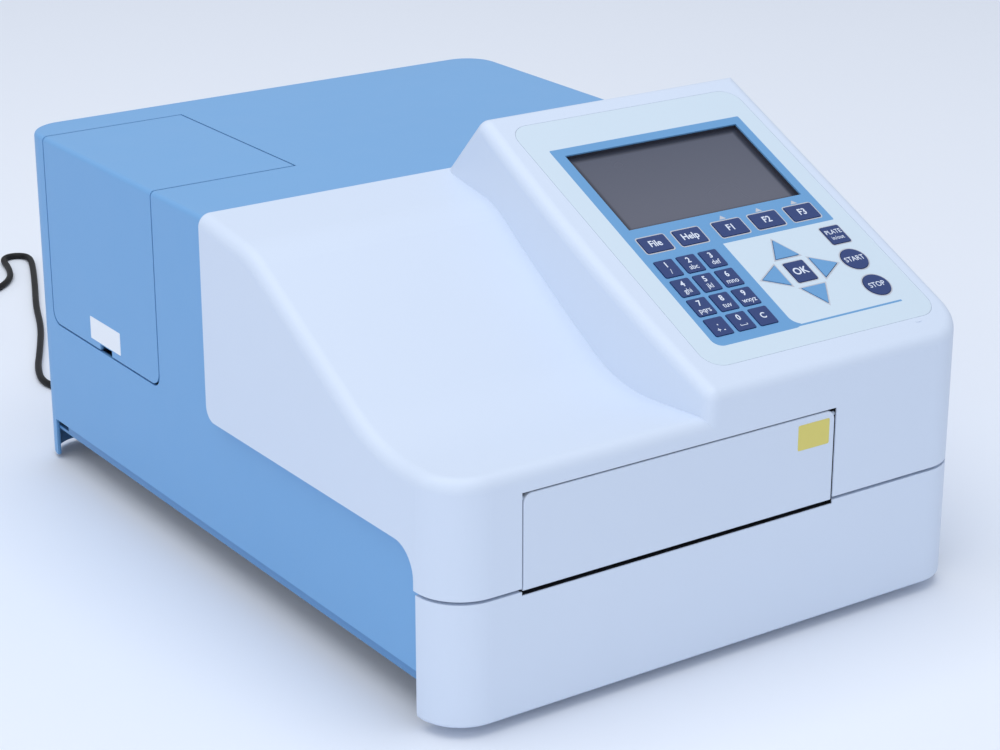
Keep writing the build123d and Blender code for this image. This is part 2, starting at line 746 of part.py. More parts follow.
with BuildPart() as tray_belt:
    inner = pulley_radius + pulley_play
    with BuildSketch(Plane.YZ.offset(belt_x - belt_width / 2)):
        with Locations(((drive_y + idler_y) / 2, pulley_z)):
            SlotCenterToCenter(drive_y - idler_y, 2 * (inner + belt_thick))
            SlotCenterToCenter(drive_y - idler_y, 2 * inner, mode=Mode.SUBTRACT)
    extrude(amount=belt_width)
tray_belt.part.label = "tray_belt"
export_step(tray_belt.part, "parts/tray_belt.step")

# ---------------------------------------------------------------- optics
mount_y = wheel_y - 5
with BuildPart() as optics_bench:
    block((bench_x[0], bench_y[0], bench_z), (bench_x[1], bench_y[1], bench_z + bench_sheet))
    # Posts on the chassis pan
    for x in (bench_x[0] + post_inset, bench_x[1] - post_inset):
        for y in (bench_y[0] + post_inset, bench_y[1] - post_inset):
            rod((x, y, pan_top), (0, 0, 1), post_radius, bench_z - pan_top + 0.5)
    # Holes for the lens barrels
    with BuildSketch(Plane.XY.offset(bench_z)):
        with Locations((mech_x, read_y)):
            with GridLocations(well_pitch, 0, channels, 1):
                Circle(barrel_radius + 0.5)
    extrude(amount=bench_sheet, mode=Mode.SUBTRACT)
    # Upright that carries the wheel motor and the end of the fibre bundle
    block((wheel_x - 22, mount_y - 3, bench_z), (wheel_x + 22, mount_y, beam_z + 9))
    rod((wheel_x, mount_y - 4, wheel_z), (0, 1, 0), shaft_radius + 1, 5, Mode.SUBTRACT)
    rod((wheel_x, mount_y - 4, beam_z), (0, 1, 0), fibre_radius, 5, Mode.SUBTRACT)
    # Upright behind the lamp socket
    lamp_rear = lamp_y + lamp_length + socket_size[1]
    block((wheel_x - 18, lamp_rear, bench_z), (wheel_x + 18, lamp_rear + 3, beam_z + 12))
optics_bench.part.label = "optics_bench"
export_step(optics_bench.part, "parts/optics_bench.step")

head_top = bench_z + bench_sheet + head[2]
with BuildPart() as optics_head:
    block(
        (mech_x - head[0] / 2, read_y - head[1] / 2, bench_z + bench_sheet),
        (mech_x + head[0] / 2, read_y + head[1] / 2, head_top),
    )
    chamfer(optics_head.edges().group_by(Axis.Z)[-1], 2)
    with BuildSketch(Plane.XY.offset(bench_z - 1)):
        with Locations((mech_x, read_y)):
            with GridLocations(well_pitch, 0, channels, 1):
                Circle(barrel_radius)
    extrude(amount=bench_sheet + 1.5)
optics_head.part.label = "optics_head"
export_step(optics_head.part, "parts/optics_head.step")

with BuildPart() as detector_board:
    across, along = detector_size
    block(
        (mech_x - across / 2, read_y - along / 2, detector_z),
        (mech_x + across / 2, read_y + along / 2, detector_z + board),
    )
    with BuildSketch(Plane.XY.offset(detector_z + board)):
        with Locations((mech_x, read_y)):
            with GridLocations(well_pitch, 0, channels, 1):
                Circle(barrel_radius)
    extrude(amount=4)
detector_board.part.label = "detector_board"
export_step(detector_board.part, "parts/detector_board.step")

with BuildPart() as fibre_bundle:
    with BuildLine() as run:
        FilletPolyline(
            (wheel_x, mount_y - 0.5, beam_z), (wheel_x, mount_y - 3 * fibre_bends[0], beam_z),
            (wheel_x + 3 * fibre_bends[0], read_y + fibre_bends[1], beam_z - fibre_bends[2]),
            (mech_x, read_y, beam_z - fibre_bends[1]), (mech_x, read_y, head_top), radius=fibre_bends,
        )
    with BuildSketch(Plane(origin=run.line @ 0, z_dir=run.line % 0)):
        Circle(fibre_radius)
    sweep()
fibre_bundle.part.label = "fibre_bundle"
export_step(fibre_bundle.part, "parts/fibre_bundle.step")

with BuildPart() as wheel_motor:
    rod((wheel_x, mount_y - 3, wheel_z), (0, -1, 0), wheel_motor_radius, wheel_motor_length)
    rod((wheel_x, mount_y - 3, wheel_z), (0, 1, 0), shaft_radius, 3 + 5 + wheel_thick + 2)
wheel_motor.part.label = "wheel_motor"
export_step(wheel_motor.part, "parts/wheel_motor.step")

with BuildPart() as filter_wheel:
    rod((wheel_x, wheel_y, wheel_z), (0, 1, 0), wheel_radius, wheel_thick)
    rod((wheel_x, wheel_y - 2, wheel_z), (0, 1, 0), 7, wheel_thick + 4)
    rod((wheel_x, wheel_y - 4, wheel_z), (0, 1, 0), shaft_radius + running, wheel_thick + 8, Mode.SUBTRACT)
    with BuildSketch(Plane.XZ.offset(-wheel_y)):
        with Locations((wheel_x, wheel_z)):
            with PolarLocations(filter_pitch, filter_count, start_angle=90):
                Circle(filter_radius)
            with PolarLocations(wheel_radius, filter_count, start_angle=90 + 180 / filter_count):
                Circle(3)
    extrude(amount=-wheel_thick, mode=Mode.SUBTRACT)
filter_wheel.part.label = "filter_wheel"
export_step(filter_wheel.part, "parts/filter_wheel.step")

with BuildPart() as filters:
    with BuildSketch(Plane.XZ.offset(-wheel_y - (wheel_thick - filter_thick) / 2)):
        with Locations((wheel_x, wheel_z)):
            with PolarLocations(filter_pitch, filter_count, start_angle=90):
                Circle(filter_radius)
    extrude(amount=-filter_thick)
filters.part.label = "filters"
export_step(filters.part, "parts/filters.step")

with BuildPart() as lamp:
    throat = 0.4 * lamp_radius
    waist = 0.6 * lamp_length
    flare = (0.86 * lamp_radius, 0.36 * lamp_length)
    with BuildSketch(Plane(origin=(wheel_x, lamp_y, beam_z), x_dir=(1, 0, 0), z_dir=(0, 0, 1))):
        with BuildLine():
            Polyline(
                (lamp_radius, 0), flare, (throat, waist), (throat, lamp_length), (0, lamp_length),
                (0, waist), (throat - lamp_wall, waist), (flare[0] - lamp_wall, flare[1]),
                (lamp_radius - lamp_wall, 0), (lamp_radius, 0),
            )
        make_face()
    revolve(axis=Axis((wheel_x, lamp_y, beam_z), (0, 1, 0)))
    # Halogen capsule
    rod((wheel_x, lamp_y + waist + 0.5, beam_z), (0, -1, 0), 3, 0.45 * lamp_length)
lamp.part.label = "lamp"
export_step(lamp.part, "parts/lamp.step")

with BuildPart() as lamp_socket:
    socket_front = lamp_y + lamp_length
    block(
        (wheel_x - socket_size[0] / 2, socket_front, beam_z - socket_size[2] / 2),
        (wheel_x + socket_size[0] / 2, socket_front + socket_size[1], beam_z + socket_size[2] / 2),
    )
    fillet(lamp_socket.edges().filter_by(Axis.Y), 3)
lamp_socket.part.label = "lamp_socket"
export_step(lamp_socket.part, "parts/lamp_socket.step")

# ---------------------------------------------------------------- electronics
def on_board(place, size):
    """Component on the main board; place is from the board's middle, size is across, along and high."""
    x = main_board_place[0] + place[0]
    y = main_board_place[1] + place[1]
    block(
        (x - size[0] / 2, y - size[1] / 2, board_top - 0.1),
        (x + size[0] / 2, y + size[1] / 2, board_top + size[2]),
    )


board_top = pan_top + main_board_lift + board
with BuildPart() as main_board:
    half_across = main_board_size[0] / 2
    half_along = main_board_size[1] / 2
    x, y = main_board_place
    block(
        (x - half_across, y - half_along, board_top - board),
        (x + half_across, y + half_along, board_top),
    )
    for side in (-1, 1):
        for end in (-1, 1):
            post_x = x + side * (half_across - 2 * board_post)
            post_y = y + end * (half_along - 2 * board_post)
            rod((post_x, post_y, pan_top), (0, 0, 1), board_post, main_board_lift + 0.5)
    on_board((0.02 * half_across, 0.07 * half_along), chip_size)
    on_board((0.66 * half_across, -0.55 * half_along), power_stage)
    on_board((-0.57 * half_across, 0.67 * half_along), header_size)
    with BuildSketch(Plane.XY.offset(board_top - 0.1)):
        with Locations((x - 0.6 * half_across, y - 0.38 * half_along)):
            with GridLocations(3.2 * capacitor[0], 2.8 * capacitor[0], 2, 2):
                Circle(capacitor[0])
    extrude(amount=capacitor[1])
main_board.part.label = "main_board"
export_step(main_board.part, "parts/main_board.step")


def on_panel(depth_below):
    """Console plane, a given depth below the panel's surface."""
    return console_plane.offset(-depth_below)


key_board_depth = key_thick - key_proud + key_float
with BuildPart() as display:
    x, s, across, along = screen
    middle = (x + across / 2, -(s + along / 2))
    with BuildSketch(on_panel(overlay_thick)):
        with Locations(middle):
            Rectangle(across + 2 * screen_frame[0], along + 2 * screen_frame[1])
            Rectangle(across, along, mode=Mode.SUBTRACT)
    extrude(amount=-(screen_depth - overlay_thick))
    with BuildSketch(on_panel(screen_depth)):
        with Locations(middle):
            Rectangle(across + 2 * screen_frame[0], along + 2 * screen_frame[1])
    extrude(amount=-screen_frame[2])
display.part.label = "display"
export_step(display.part, "parts/display.step")

with BuildPart() as keypad_board:
    left = overlay_left + key_board_edge[0]
    right = overlay_right - key_board_edge[0]
    upper = function_row[0] - key_board_edge[1]
    lower = key_board_edge[2]
    middle = ((left + right) / 2, -(upper + lower) / 2)
    with BuildSketch(on_panel(overlay_thick)):
        with Locations(middle):
            Rectangle(right - left, lower - upper)
            Rectangle(
                right - left - 2 * key_board_rim, lower - upper - 2 * key_board_rim, mode=Mode.SUBTRACT
            )
    extrude(amount=-(key_board_depth - overlay_thick))
    with BuildSketch(on_panel(key_board_depth)):
        with Locations(middle):
            Rectangle(right - left, lower - upper)
    extrude(amount=-board)
keypad_board.part.label = "keypad_board"
export_step(keypad_board.part, "parts/keypad_board.step")


def arrow(way, grow):
    """Outline of an arrow key, grow wider all round; way 0 to 3 is up, right, down and left."""
    x, s = arrow_centre
    reach_x, reach_s = arrow_reach
    bases = ((x, s - reach_s), (x + reach_x, s), (x, s + reach_s), (x - reach_x, s))
    with BuildSketch() as outline:
        with BuildLine():
            half = arrow_base / 2
            Polyline((-half, 0), (half, 0), (0, arrow_length), (-half, 0))
        make_face()
        if grow:
            offset(amount=grow, kind=Kind.INTERSECTION)
    return outline.sketch.moved(Location((bases[way][0], -bases[way][1], 0), (0, 0, -90 * way)))


key_frames = {}
for name, (x, width_here) in function_keys.items():
    key_frames[name] = (x, function_row[0], width_here, function_row[1])
for index, name in enumerate(pad_names):
    key_frames["key_" + name] = (
        pad_corner[0] + index % 3 * pad_pitch[0], pad_corner[1] + index // 3 * pad_pitch[1], *pad_key
    )
key_frames["key_ok"] = ok_key
key_frames["key_door"] = door_key
arrow_names = ("key_up", "key_right", "key_down", "key_left")


def key_outline(name, grow):
    """Outline of one key in console coordinates, grow wider all round."""
    if name in arrow_names:
        return arrow(arrow_names.index(name), grow)
    with BuildSketch() as outline:
        if name in round_keys:
            x, s = round_keys[name]
            with Locations((x, -s)):
                Circle(round_key_radius + grow)
        else:
            x, s, across, along = key_frames[name]
            with Locations((x + across / 2, -(s + along / 2))):
                RectangleRounded(across + 2 * grow, along + 2 * grow, key_bow + grow)
    return outline.sketch


key_names = [*key_frames, *arrow_names, *round_keys]
with BuildPart() as overlay:
    with BuildSketch(console_plane):
        with Locations(((overlay_left + overlay_right) / 2, -(overlay_top + overlay_bottom) / 2)):
            RectangleRounded(
                overlay_right - overlay_left - 2 * overlay_play,
                overlay_bottom - overlay_top - 2 * overlay_play, overlay_radius - overlay_play,
            )
        x, s, across, along = screen
        with Locations((x + across / 2, -(s + along / 2))):
            Rectangle(across, along, mode=Mode.SUBTRACT)
        for name in key_names:
            add(key_outline(name, key_gap), mode=Mode.SUBTRACT)
    extrude(amount=-overlay_thick)
overlay.part.label = "overlay"
export_step(overlay.part, "parts/overlay.step")

for name in key_names:
    with BuildPart() as key:
        with BuildSketch(console_plane.offset(key_proud)):
            add(key_outline(name, 0))
        extrude(amount=-key_thick)
    key.part.label = name
    export_step(key.part, f"parts/{name}.step")

# ---------------------------------------------------------------- rear panel
with BuildPart() as rear_panel:
    low_z, high_z = panel_z
    block((-panel_half, panel_y - sheet, low_z), (panel_half, panel_y, high_z))
    # Rim that seats against the inside of the casing's rear face
    block((-panel_half, panel_y - sheet, low_z), (panel_half, rear_y - sheet, high_z))
    block(
        (-panel_half + panel_rim, panel_y, low_z + panel_rim),
        (panel_half - panel_rim, rear_y, high_z - panel_rim), Mode.SUBTRACT,
    )
    with BuildSketch(Plane.XZ.offset(-panel_y)):
        with Locations(vent_centre):
            with GridLocations(*vent_pitch, *vent_count):
                Rectangle(*vent_slot)
        with Locations(inlet):
            Rectangle(*inlet_body)
        with Locations(port):
            Rectangle(*port_body)
        with Locations(switch):
            Rectangle(*switch_size)
    extrude(amount=2 * sheet, mode=Mode.SUBTRACT)
rear_panel.part.label = "rear_panel"
export_step(rear_panel.part, "parts/rear_panel.step")

with BuildPart() as rear_sockets:
    # Small board that carries both sockets
    socket_board_y = panel_y - socket_depth - 1
    block(
        (inlet[0] - 10, socket_board_y, inlet[1] - 7),
        (port[0] + 9, socket_board_y + board, inlet[1] + 11),
    )
    for (x, z), (across, high), brim in ((inlet, inlet_body, (2.5, 1)), (port, port_body, (2, 2))):
        block(
            (x - across / 2, panel_y - socket_depth, z - high / 2),
            (x + across / 2, panel_y, z + high / 2),
        )
        block(
            (x - across / 2 - brim[0], panel_y, z - high / 2 - brim[1]),
            (x + across / 2 + brim[0], panel_y + socket_flange, z + high / 2 + brim[1]),
        )
    # Low-voltage inlet, with its centre pin
    x, z = inlet
    rod((x, panel_y + socket_flange, z), (0, -1, 0), inlet_bore, 11, Mode.SUBTRACT)
    rod((x, panel_y + socket_flange - 11.5, z), (0, 1, 0), inlet_pin, 10.5)
    # Mouth of the data port
    x, z = port
    across, high, deep = port_mouth
    block(
        (x - across / 2, panel_y - deep, z - high / 2),
        (x + across / 2, panel_y + socket_flange, z + high / 2), Mode.SUBTRACT,
    )
rear_sockets.part.label = "rear_sockets"
export_step(rear_sockets.part, "parts/rear_sockets.step")

rocker_pivot = (panel_y - 3, switch[1])
half_x = switch_size[0] / 2
half_z = switch_size[1] / 2
with BuildPart() as switch_body:
    x, z = switch
    block((x - half_x, panel_y - 14, z - half_z), (x + half_x, panel_y, z + half_z))
    rim = 1.5
    block(
        (x - half_x - rim, panel_y, z - half_z - rim),
        (x + half_x + rim, panel_y + socket_flange, z + half_z + rim),
    )
    block(
        (x - half_x + 1, panel_y - 9, z - half_z + 1),
        (x + half_x - 1, panel_y + socket_flange, z + half_z - 1), Mode.SUBTRACT,
    )
    rod((x - half_x + 0.5, *rocker_pivot), (1, 0, 0), 1, switch_size[0] - 1)
switch_body.part.label = "switch_body"
export_step(switch_body.part, "parts/switch_body.step")

with BuildPart() as switch_rocker:
    lean = radians(switch_tilt)
    rocker_plane = Plane(
        origin=(switch[0] - half_x + 1.3, *rocker_pivot), x_dir=(0, cos(lean), sin(lean)), z_dir=(1, 0, 0)
    )
    with BuildSketch(rocker_plane):
        with BuildLine():
            reach = half_z - 1.7
            Polyline((-2.2, -3.4), (5.2, -reach), (4.2, 0), (5.2, reach), (-2.2, 3.4), (-2.2, -3.4))
        make_face()
        Circle(1 + running, mode=Mode.SUBTRACT)
    extrude(amount=switch_size[0] - 2.6)
switch_rocker.part.label = "switch_rocker"
export_step(switch_rocker.part, "parts/switch_rocker.step")

# ---------------------------------------------------------------- supply lead
lead_radius = lead_diameter / 2
plug_start = panel_y + socket_flange
lead_start = plug_start + plug_length + relief_length
with BuildPart() as cord_plug:
    x, z = inlet
    rod((x, plug_start, z), (0, 1, 0), plug_radius, plug_length)
    chamfer(cord_plug.edges(), 1)
    with BuildSketch(Plane.XZ.offset(-plug_start - plug_length)):
        with Locations((x, z)):
            Circle(plug_radius - 1)
    with BuildSketch(Plane.XZ.offset(-lead_start)):
        with Locations((x, z)):
            Circle(lead_radius + 0.3)
    loft()
    # Contact barrel in the inlet
    rod((x, plug_start + 1, z), (0, -1, 0), inlet_bore - 0.45, 10.5)
    rod((x, plug_start, z), (0, -1, 0), inlet_pin + 0.25, 12, Mode.SUBTRACT)
cord_plug.part.label = "cord_plug"
export_step(cord_plug.part, "parts/cord_plug.step")

# Route of the lead: out of the plug, down to the bench, away behind the unit, back in a tight bend and
# on to the coil
floor_z = lead_radius + 0.05
lead_route = (
    (inlet[0], lead_start, inlet[1]), (inlet[0], lead_start + 14, inlet[1]), (-67, 256, 28), (-79, 265, 12),
    (-94, 268, floor_z), (-105, 284, floor_z), (-97, 310, floor_z), (-79, 338, floor_z),
    (-61, 374, floor_z), (-47, 412, floor_z), (-31, 448, floor_z), (-15, 486, floor_z), (-9, 503, floor_z),
    (-12.4, 511.3, floor_z), (-20.5, 515.1, floor_z), (-29, 512, floor_z), (-35, 495, floor_z),
    (-42, 474, floor_z), (-57, 456, floor_z), (-79, 447, floor_z), (-105, 444, floor_z),
    (coil_centre[0] + 10, coil_centre[1] + 23.5, floor_z),
)
corner_radii = []
for before, corner, after in zip(lead_route, lead_route[1:], lead_route[2:]):
    run_in = Vector(*corner) - Vector(*before)
    run_out = Vector(*after) - Vector(*corner)
    shorter = min(run_in.length, run_out.length)
    corner_radii.append(0.45 * shorter / tan(radians(run_in.get_angle(run_out) / 2)))
print("lead radii", [round(radius, 1) for radius in corner_radii])
with BuildPart() as cord:
    with BuildLine() as lead_line:
        FilletPolyline(*lead_route, radius=corner_radii)
    with BuildSketch(Plane(origin=lead_line.line @ 0, z_dir=lead_line.line % 0)):
        Circle(lead_radius)
    sweep()
cord.part.label = "cord"
export_step(cord.part, "parts/cord.step")

with BuildPart() as cord_coil:
    with BuildSketch(Plane.XZ.offset(-coil_centre[1])) as coil_section:
        with Locations((coil_centre[0] + coil_turn / 2, coil_height / 2)):
            Rectangle(coil_band, coil_height)
        chamfer(coil_section.vertices(), 1.5)
    revolve(axis=Axis((*coil_centre, 0), (0, 0, 1)))
    # Last stretch of the lead, from the coil to its connector
    stretch_end = Vector(*connector_start, connector_radius)
    stretch_start = Vector(coil_centre[0], coil_centre[1] - coil_turn / 2, coil_height / 2)
    stretch = stretch_start - stretch_end
    with BuildSketch(Plane.YZ.offset(connector_start[0])) as stretch_face:
        with Locations((stretch_end.Y, stretch_end.Z)):
            Circle(lead_radius)
    extrude(stretch_face.sketch, amount=stretch.length, dir=stretch.normalized())
cord_coil.part.label = "cord_coil"
export_step(cord_coil.part, "parts/cord_coil.step")

with BuildPart() as cord_connector:
    rod((*connector_start, connector_radius), (1, 0, 0), connector_radius, connector_length)
    chamfer(cord_connector.edges(), 1)
cord_connector.part.label = "cord_connector"
export_step(cord_connector.part, "parts/cord_connector.step")
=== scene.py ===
import math

import bmesh
import bpy
from mathutils import Matrix, Vector


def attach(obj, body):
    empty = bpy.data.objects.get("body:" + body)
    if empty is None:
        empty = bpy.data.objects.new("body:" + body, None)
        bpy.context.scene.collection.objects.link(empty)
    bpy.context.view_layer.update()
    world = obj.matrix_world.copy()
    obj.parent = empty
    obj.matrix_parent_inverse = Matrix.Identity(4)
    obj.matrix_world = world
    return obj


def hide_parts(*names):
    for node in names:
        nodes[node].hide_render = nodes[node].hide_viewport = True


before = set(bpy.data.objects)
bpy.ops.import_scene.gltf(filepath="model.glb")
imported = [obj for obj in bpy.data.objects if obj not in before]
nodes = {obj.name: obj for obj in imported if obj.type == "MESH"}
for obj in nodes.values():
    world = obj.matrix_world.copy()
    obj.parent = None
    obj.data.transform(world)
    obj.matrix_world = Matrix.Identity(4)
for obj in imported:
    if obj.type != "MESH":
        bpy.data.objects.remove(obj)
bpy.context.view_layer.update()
scene = bpy.context.scene
MM = 0.001

# ---------------------------------------------------------------- camera
AZIMUTH = math.radians(-34.512)
ELEVATION = math.radians(20.526)
EYE = (-0.65106, -0.97519, 0.51246)
FOCAL_LENGTH = 91.01
SENSOR_WIDTH = 36.0
FAR_CLIP = 100.0
back = Vector((
    math.sin(AZIMUTH) * math.cos(ELEVATION),
    -math.cos(AZIMUTH) * math.cos(ELEVATION),
    math.sin(ELEVATION),
))
camera = bpy.data.objects.new("camera", bpy.data.cameras.new("camera"))
scene.collection.objects.link(camera)
camera.location = EYE
camera.rotation_mode = "QUATERNION"
camera.rotation_quaternion = back.to_track_quat("Z", "Y")
camera.data.sensor_width = SENSOR_WIDTH
camera.data.lens = FOCAL_LENGTH
camera.data.clip_end = FAR_CLIP
scene.camera = camera


# ---------------------------------------------------------------- materials
def linear(r, g, b):
    """Display colour, 0 to 255, as scene-linear values."""
    def one(value):
        value /= 255
        return value / 12.92 if value <= 0.04045 else ((value + 0.055) / 1.055) ** 2.4
    return (one(r), one(g), one(b), 1.0)


class Shader:
    """A node material under construction, with short calls for the nodes that it needs."""

    def __init__(self, name):
        self.material = bpy.data.materials.new(name)
        self.material.use_nodes = True
        self.tree = self.material.node_tree
        self.surface = self.tree.nodes["Principled BSDF"]
        self.place = self.tree.nodes.new("ShaderNodeTexCoord").outputs["Object"]

    def set(self, **values):
        for name, value in values.items():
            self.surface.inputs[name.replace("_", " ")].default_value = value
        return self

    def link(self, source, socket):
        self.tree.links.new(source, socket)

    def math(self, operation, first, second=0.0):
        node = self.tree.nodes.new("ShaderNodeMath")
        node.operation = operation
        for socket, value in zip(node.inputs, (first, second)):
            if isinstance(value, (int, float)):
                socket.default_value = value
            else:
                self.link(value, socket)
        return node.outputs[0]

    def dot(self, vector, offset=0.0):
        """Distance along a direction of the object's own space plus an offset, in metres."""
        node = self.tree.nodes.new("ShaderNodeVectorMath")
        node.operation = "DOT_PRODUCT"
        self.link(self.place, node.inputs[0])
        node.inputs[1].default_value = vector
        return self.math("ADD", node.outputs["Value"], offset)

    def noise(self, scale, detail=2.0, roughness=0.5):
        node = self.tree.nodes.new("ShaderNodeTexNoise")
        node.inputs["Scale"].default_value = scale
        node.inputs["Detail"].default_value = detail
        node.inputs["Roughness"].default_value = roughness
        self.link(self.place, node.inputs["Vector"])
        return node.outputs["Fac"]

    def cells(self, scale):
        node = self.tree.nodes.new("ShaderNodeTexVoronoi")
        node.inputs["Scale"].default_value = scale
        self.link(self.place, node.inputs["Vector"])
        return node.outputs["Distance"]

    def span(self, source, low, high, source_low=0.0, source_high=1.0):
        node = self.tree.nodes.new("ShaderNodeMapRange")
        self.link(source, node.inputs["Value"])
        node.inputs["From Min"].default_value = source_low
        node.inputs["From Max"].default_value = source_high
        node.inputs["To Min"].default_value = low
        node.inputs["To Max"].default_value = high
        return node.outputs["Result"]

    def mix(self, factor, first, second):
        node = self.tree.nodes.new("ShaderNodeMix")
        node.data_type = "RGBA"
        self.link(factor, node.inputs["Factor"])
        for name, value in (("A", first), ("B", second)):
            socket = next(s for s in node.inputs if s.name == name and s.type == "RGBA")
            if isinstance(value, tuple):
                socket.default_value = value
            else:
                self.link(value, socket)
        return next(s for s in node.outputs if s.type == "RGBA")

    def box(self, first, second, low, high, radius):
        """Distance outside a rounded rectangle of two coordinates, negative inside, in metres."""
        far = []
        for along, least, most in zip((first, second), low, high):
            offset = self.math("SUBTRACT", along, (least + most) / 2 * MM)
            reach = ((most - least) / 2 - radius) * MM
            far.append(self.math("SUBTRACT", self.math("ABSOLUTE", offset), reach))
        clipped = [self.math("POWER", self.math("MAXIMUM", value, 0.0), 2.0) for value in far]
        corner = self.math("SQRT", self.math("ADD", *clipped))
        inner = self.math("MINIMUM", self.math("MAXIMUM", *far), 0.0)
        return self.math("SUBTRACT", self.math("ADD", corner, inner), radius * MM)

    def bump(self, height, distance, strength=1.0):
        node = self.tree.nodes.new("ShaderNodeBump")
        node.inputs["Strength"].default_value = strength
        node.inputs["Distance"].default_value = distance
        self.link(height, node.inputs["Height"])
        self.link(node.outputs["Normal"], self.surface.inputs["Normal"])
        return self

    def roughness(self, scale, low, high, detail=2.0):
        """Roughness that changes over the surface between two values."""
        self.link(self.span(self.noise(scale, detail), low, high), self.surface.inputs["Roughness"])

    def colour(self, source):
        self.link(source, self.surface.inputs["Base Color"])


def shade(colour, factor):
    return (colour[0] * factor, colour[1] * factor, colour[2] * factor, 1.0)


# Noise scales of the slow drift in tone and of the changing roughness, and the directions of the frame
DRIFT_SCALE = 14.0
POLISH_SCALE = 60.0
ACROSS = (1, 0, 0)
INTO = (0, 1, 0)
UPWARDS = (0, 0, 1)


def finish_of(name, colour, variation, roughness, grain, height, metallic=0.0, gloss=0.5):
    """Even finish with a slow drift in tone, a changing roughness and a fine grain."""
    made = Shader(name)
    drift = made.noise(DRIFT_SCALE, 3.0)
    made.colour(made.mix(drift, shade(colour, 1 - variation), shade(colour, 1 + variation)))
    made.roughness(POLISH_SCALE, *roughness, detail=4.0)
    made.bump(made.noise(grain), height)
    return made.set(Metallic=metallic, Specular_IOR_Level=gloss).material


WHITE = linear(211, 223, 241)
BLUE = linear(116, 169, 219)
# Painted shade: near-black for the walls of the door opening
OPENING_SHADE = linear(30, 31, 36)
# Painted shade: darker blue for the inside of the casing's sheets
INSIDE_SHADE_BLUE = linear(88, 140, 192)
# Blue paint of the pan's flanges, made darker than the casing's blue as painted shade
FLANGE_BLUE_AND_SHADE = linear(88, 142, 194)
NAVY = linear(30, 56, 114)
PRINT_BLUE = linear(102, 158, 208)
FILM = linear(207, 223, 236)
FRAME_GREY = linear(192, 196, 206)
INK_WHITE = linear(226, 234, 248)

door_white = finish_of("door_white", shade(WHITE, 0.985), 0.012, (0.42, 0.52), 1500.0, 0.00002)
zinc = finish_of("zinc_bench", linear(150, 155, 160), 0.12, (0.30, 0.45), 500.0, 0.00001, 1.0)
rubber = finish_of("foot_rubber", linear(38, 39, 42), 0.10, (0.70, 0.85), 1200.0, 0.00005)
anodised = finish_of("anodised", linear(170, 173, 178), 0.05, (0.28, 0.36), 1400.0, 0.00001, 1.0)
black_anodised = finish_of("black_anodised", linear(36, 37, 40), 0.10, (0.38, 0.50), 1400.0, 0.00001, 0.6)
motor_black = finish_of("motor_steel", linear(44, 45, 50), 0.10, (0.35, 0.50), 700.0, 0.00002, 0.3)
ceramic = finish_of("ceramic", linear(222, 216, 202), 0.04, (0.60, 0.75), 800.0, 0.00004)
reflector = finish_of("reflector", linear(215, 215, 210), 0.03, (0.08, 0.14), 300.0, 0.00001, 1.0)
key_navy = finish_of("key_navy", NAVY, 0.04, (0.38, 0.48), 1600.0, 0.00002)
key_blue = finish_of("key_blue", PRINT_BLUE, 0.02, (0.38, 0.48), 1600.0, 0.00002)
black_plastic = finish_of("black_plastic", linear(40, 41, 45), 0.08, (0.40, 0.55), 1200.0, 0.00003)
ink_white = finish_of("ink_white", INK_WHITE, 0.01, (0.45, 0.55), 1500.0, 0.00001)
ink_grey = finish_of("ink_grey", FRAME_GREY, 0.02, (0.45, 0.55), 1500.0, 0.00001)
sheath = finish_of("black_sheath", linear(17, 17, 20), 0.10, (0.50, 0.65), 900.0, 0.00003, 0.0, 0.3)
label_white = finish_of("label_white", linear(240, 244, 250), 0.012, (0.50, 0.60), 1300.0, 0.00002)
label_yellow = finish_of("label_yellow", linear(219, 207, 112), 0.02, (0.45, 0.55), 1300.0, 0.00002)
gold = finish_of("contact_gold", linear(212, 175, 90), 0.04, (0.22, 0.32), 900.0, 0.00001, 1.0)
screw_steel = finish_of("screw_steel", linear(176, 178, 182), 0.05, (0.25, 0.38), 900.0, 0.00001, 1.0)


# Lowest and highest x and z of the door opening, and the y where the painted shade on its walls starts
DOOR_OPENING = ((-107.4, 59.5), (63.4, 106.9))
OPENING_SHADE_FRONT = -199.3
# Lowest and highest x and y of the casing outside, its upright corners' radius, its top, and how far in the
# painted shade inside the sheets starts
CASING_PLAN = ((-140.5, -400), (140.5, 200))
CASING_CORNER = 19
CASING_TOP = 177.6
SHADE_INSET = 1.0
# The pan's side flanges lie further out than this
FLANGE_X = 137.0


def moulding():
    """Satin white, with painted shade: the walls of the door opening near-black behind the front face."""
    made = Shader("white_moulding")
    tone = made.mix(made.noise(DRIFT_SCALE, 3.0), shade(WHITE, 0.988), shade(WHITE, 1.012))
    # Painted shade: the opening's walls are coloured near-black deeper than the front face
    opening = made.box(made.dot(ACROSS), made.dot(UPWARDS), *DOOR_OPENING, 0.1)
    behind = made.math("GREATER_THAN", made.dot(INTO), OPENING_SHADE_FRONT * MM)
    painted_shade = made.math("MULTIPLY", made.math("LESS_THAN", opening, 0.0), behind)
    made.colour(made.mix(painted_shade, tone, OPENING_SHADE))
    made.roughness(POLISH_SCALE, 0.42, 0.52, detail=4.0)
    return made.bump(made.noise(1500.0), 0.00002).material


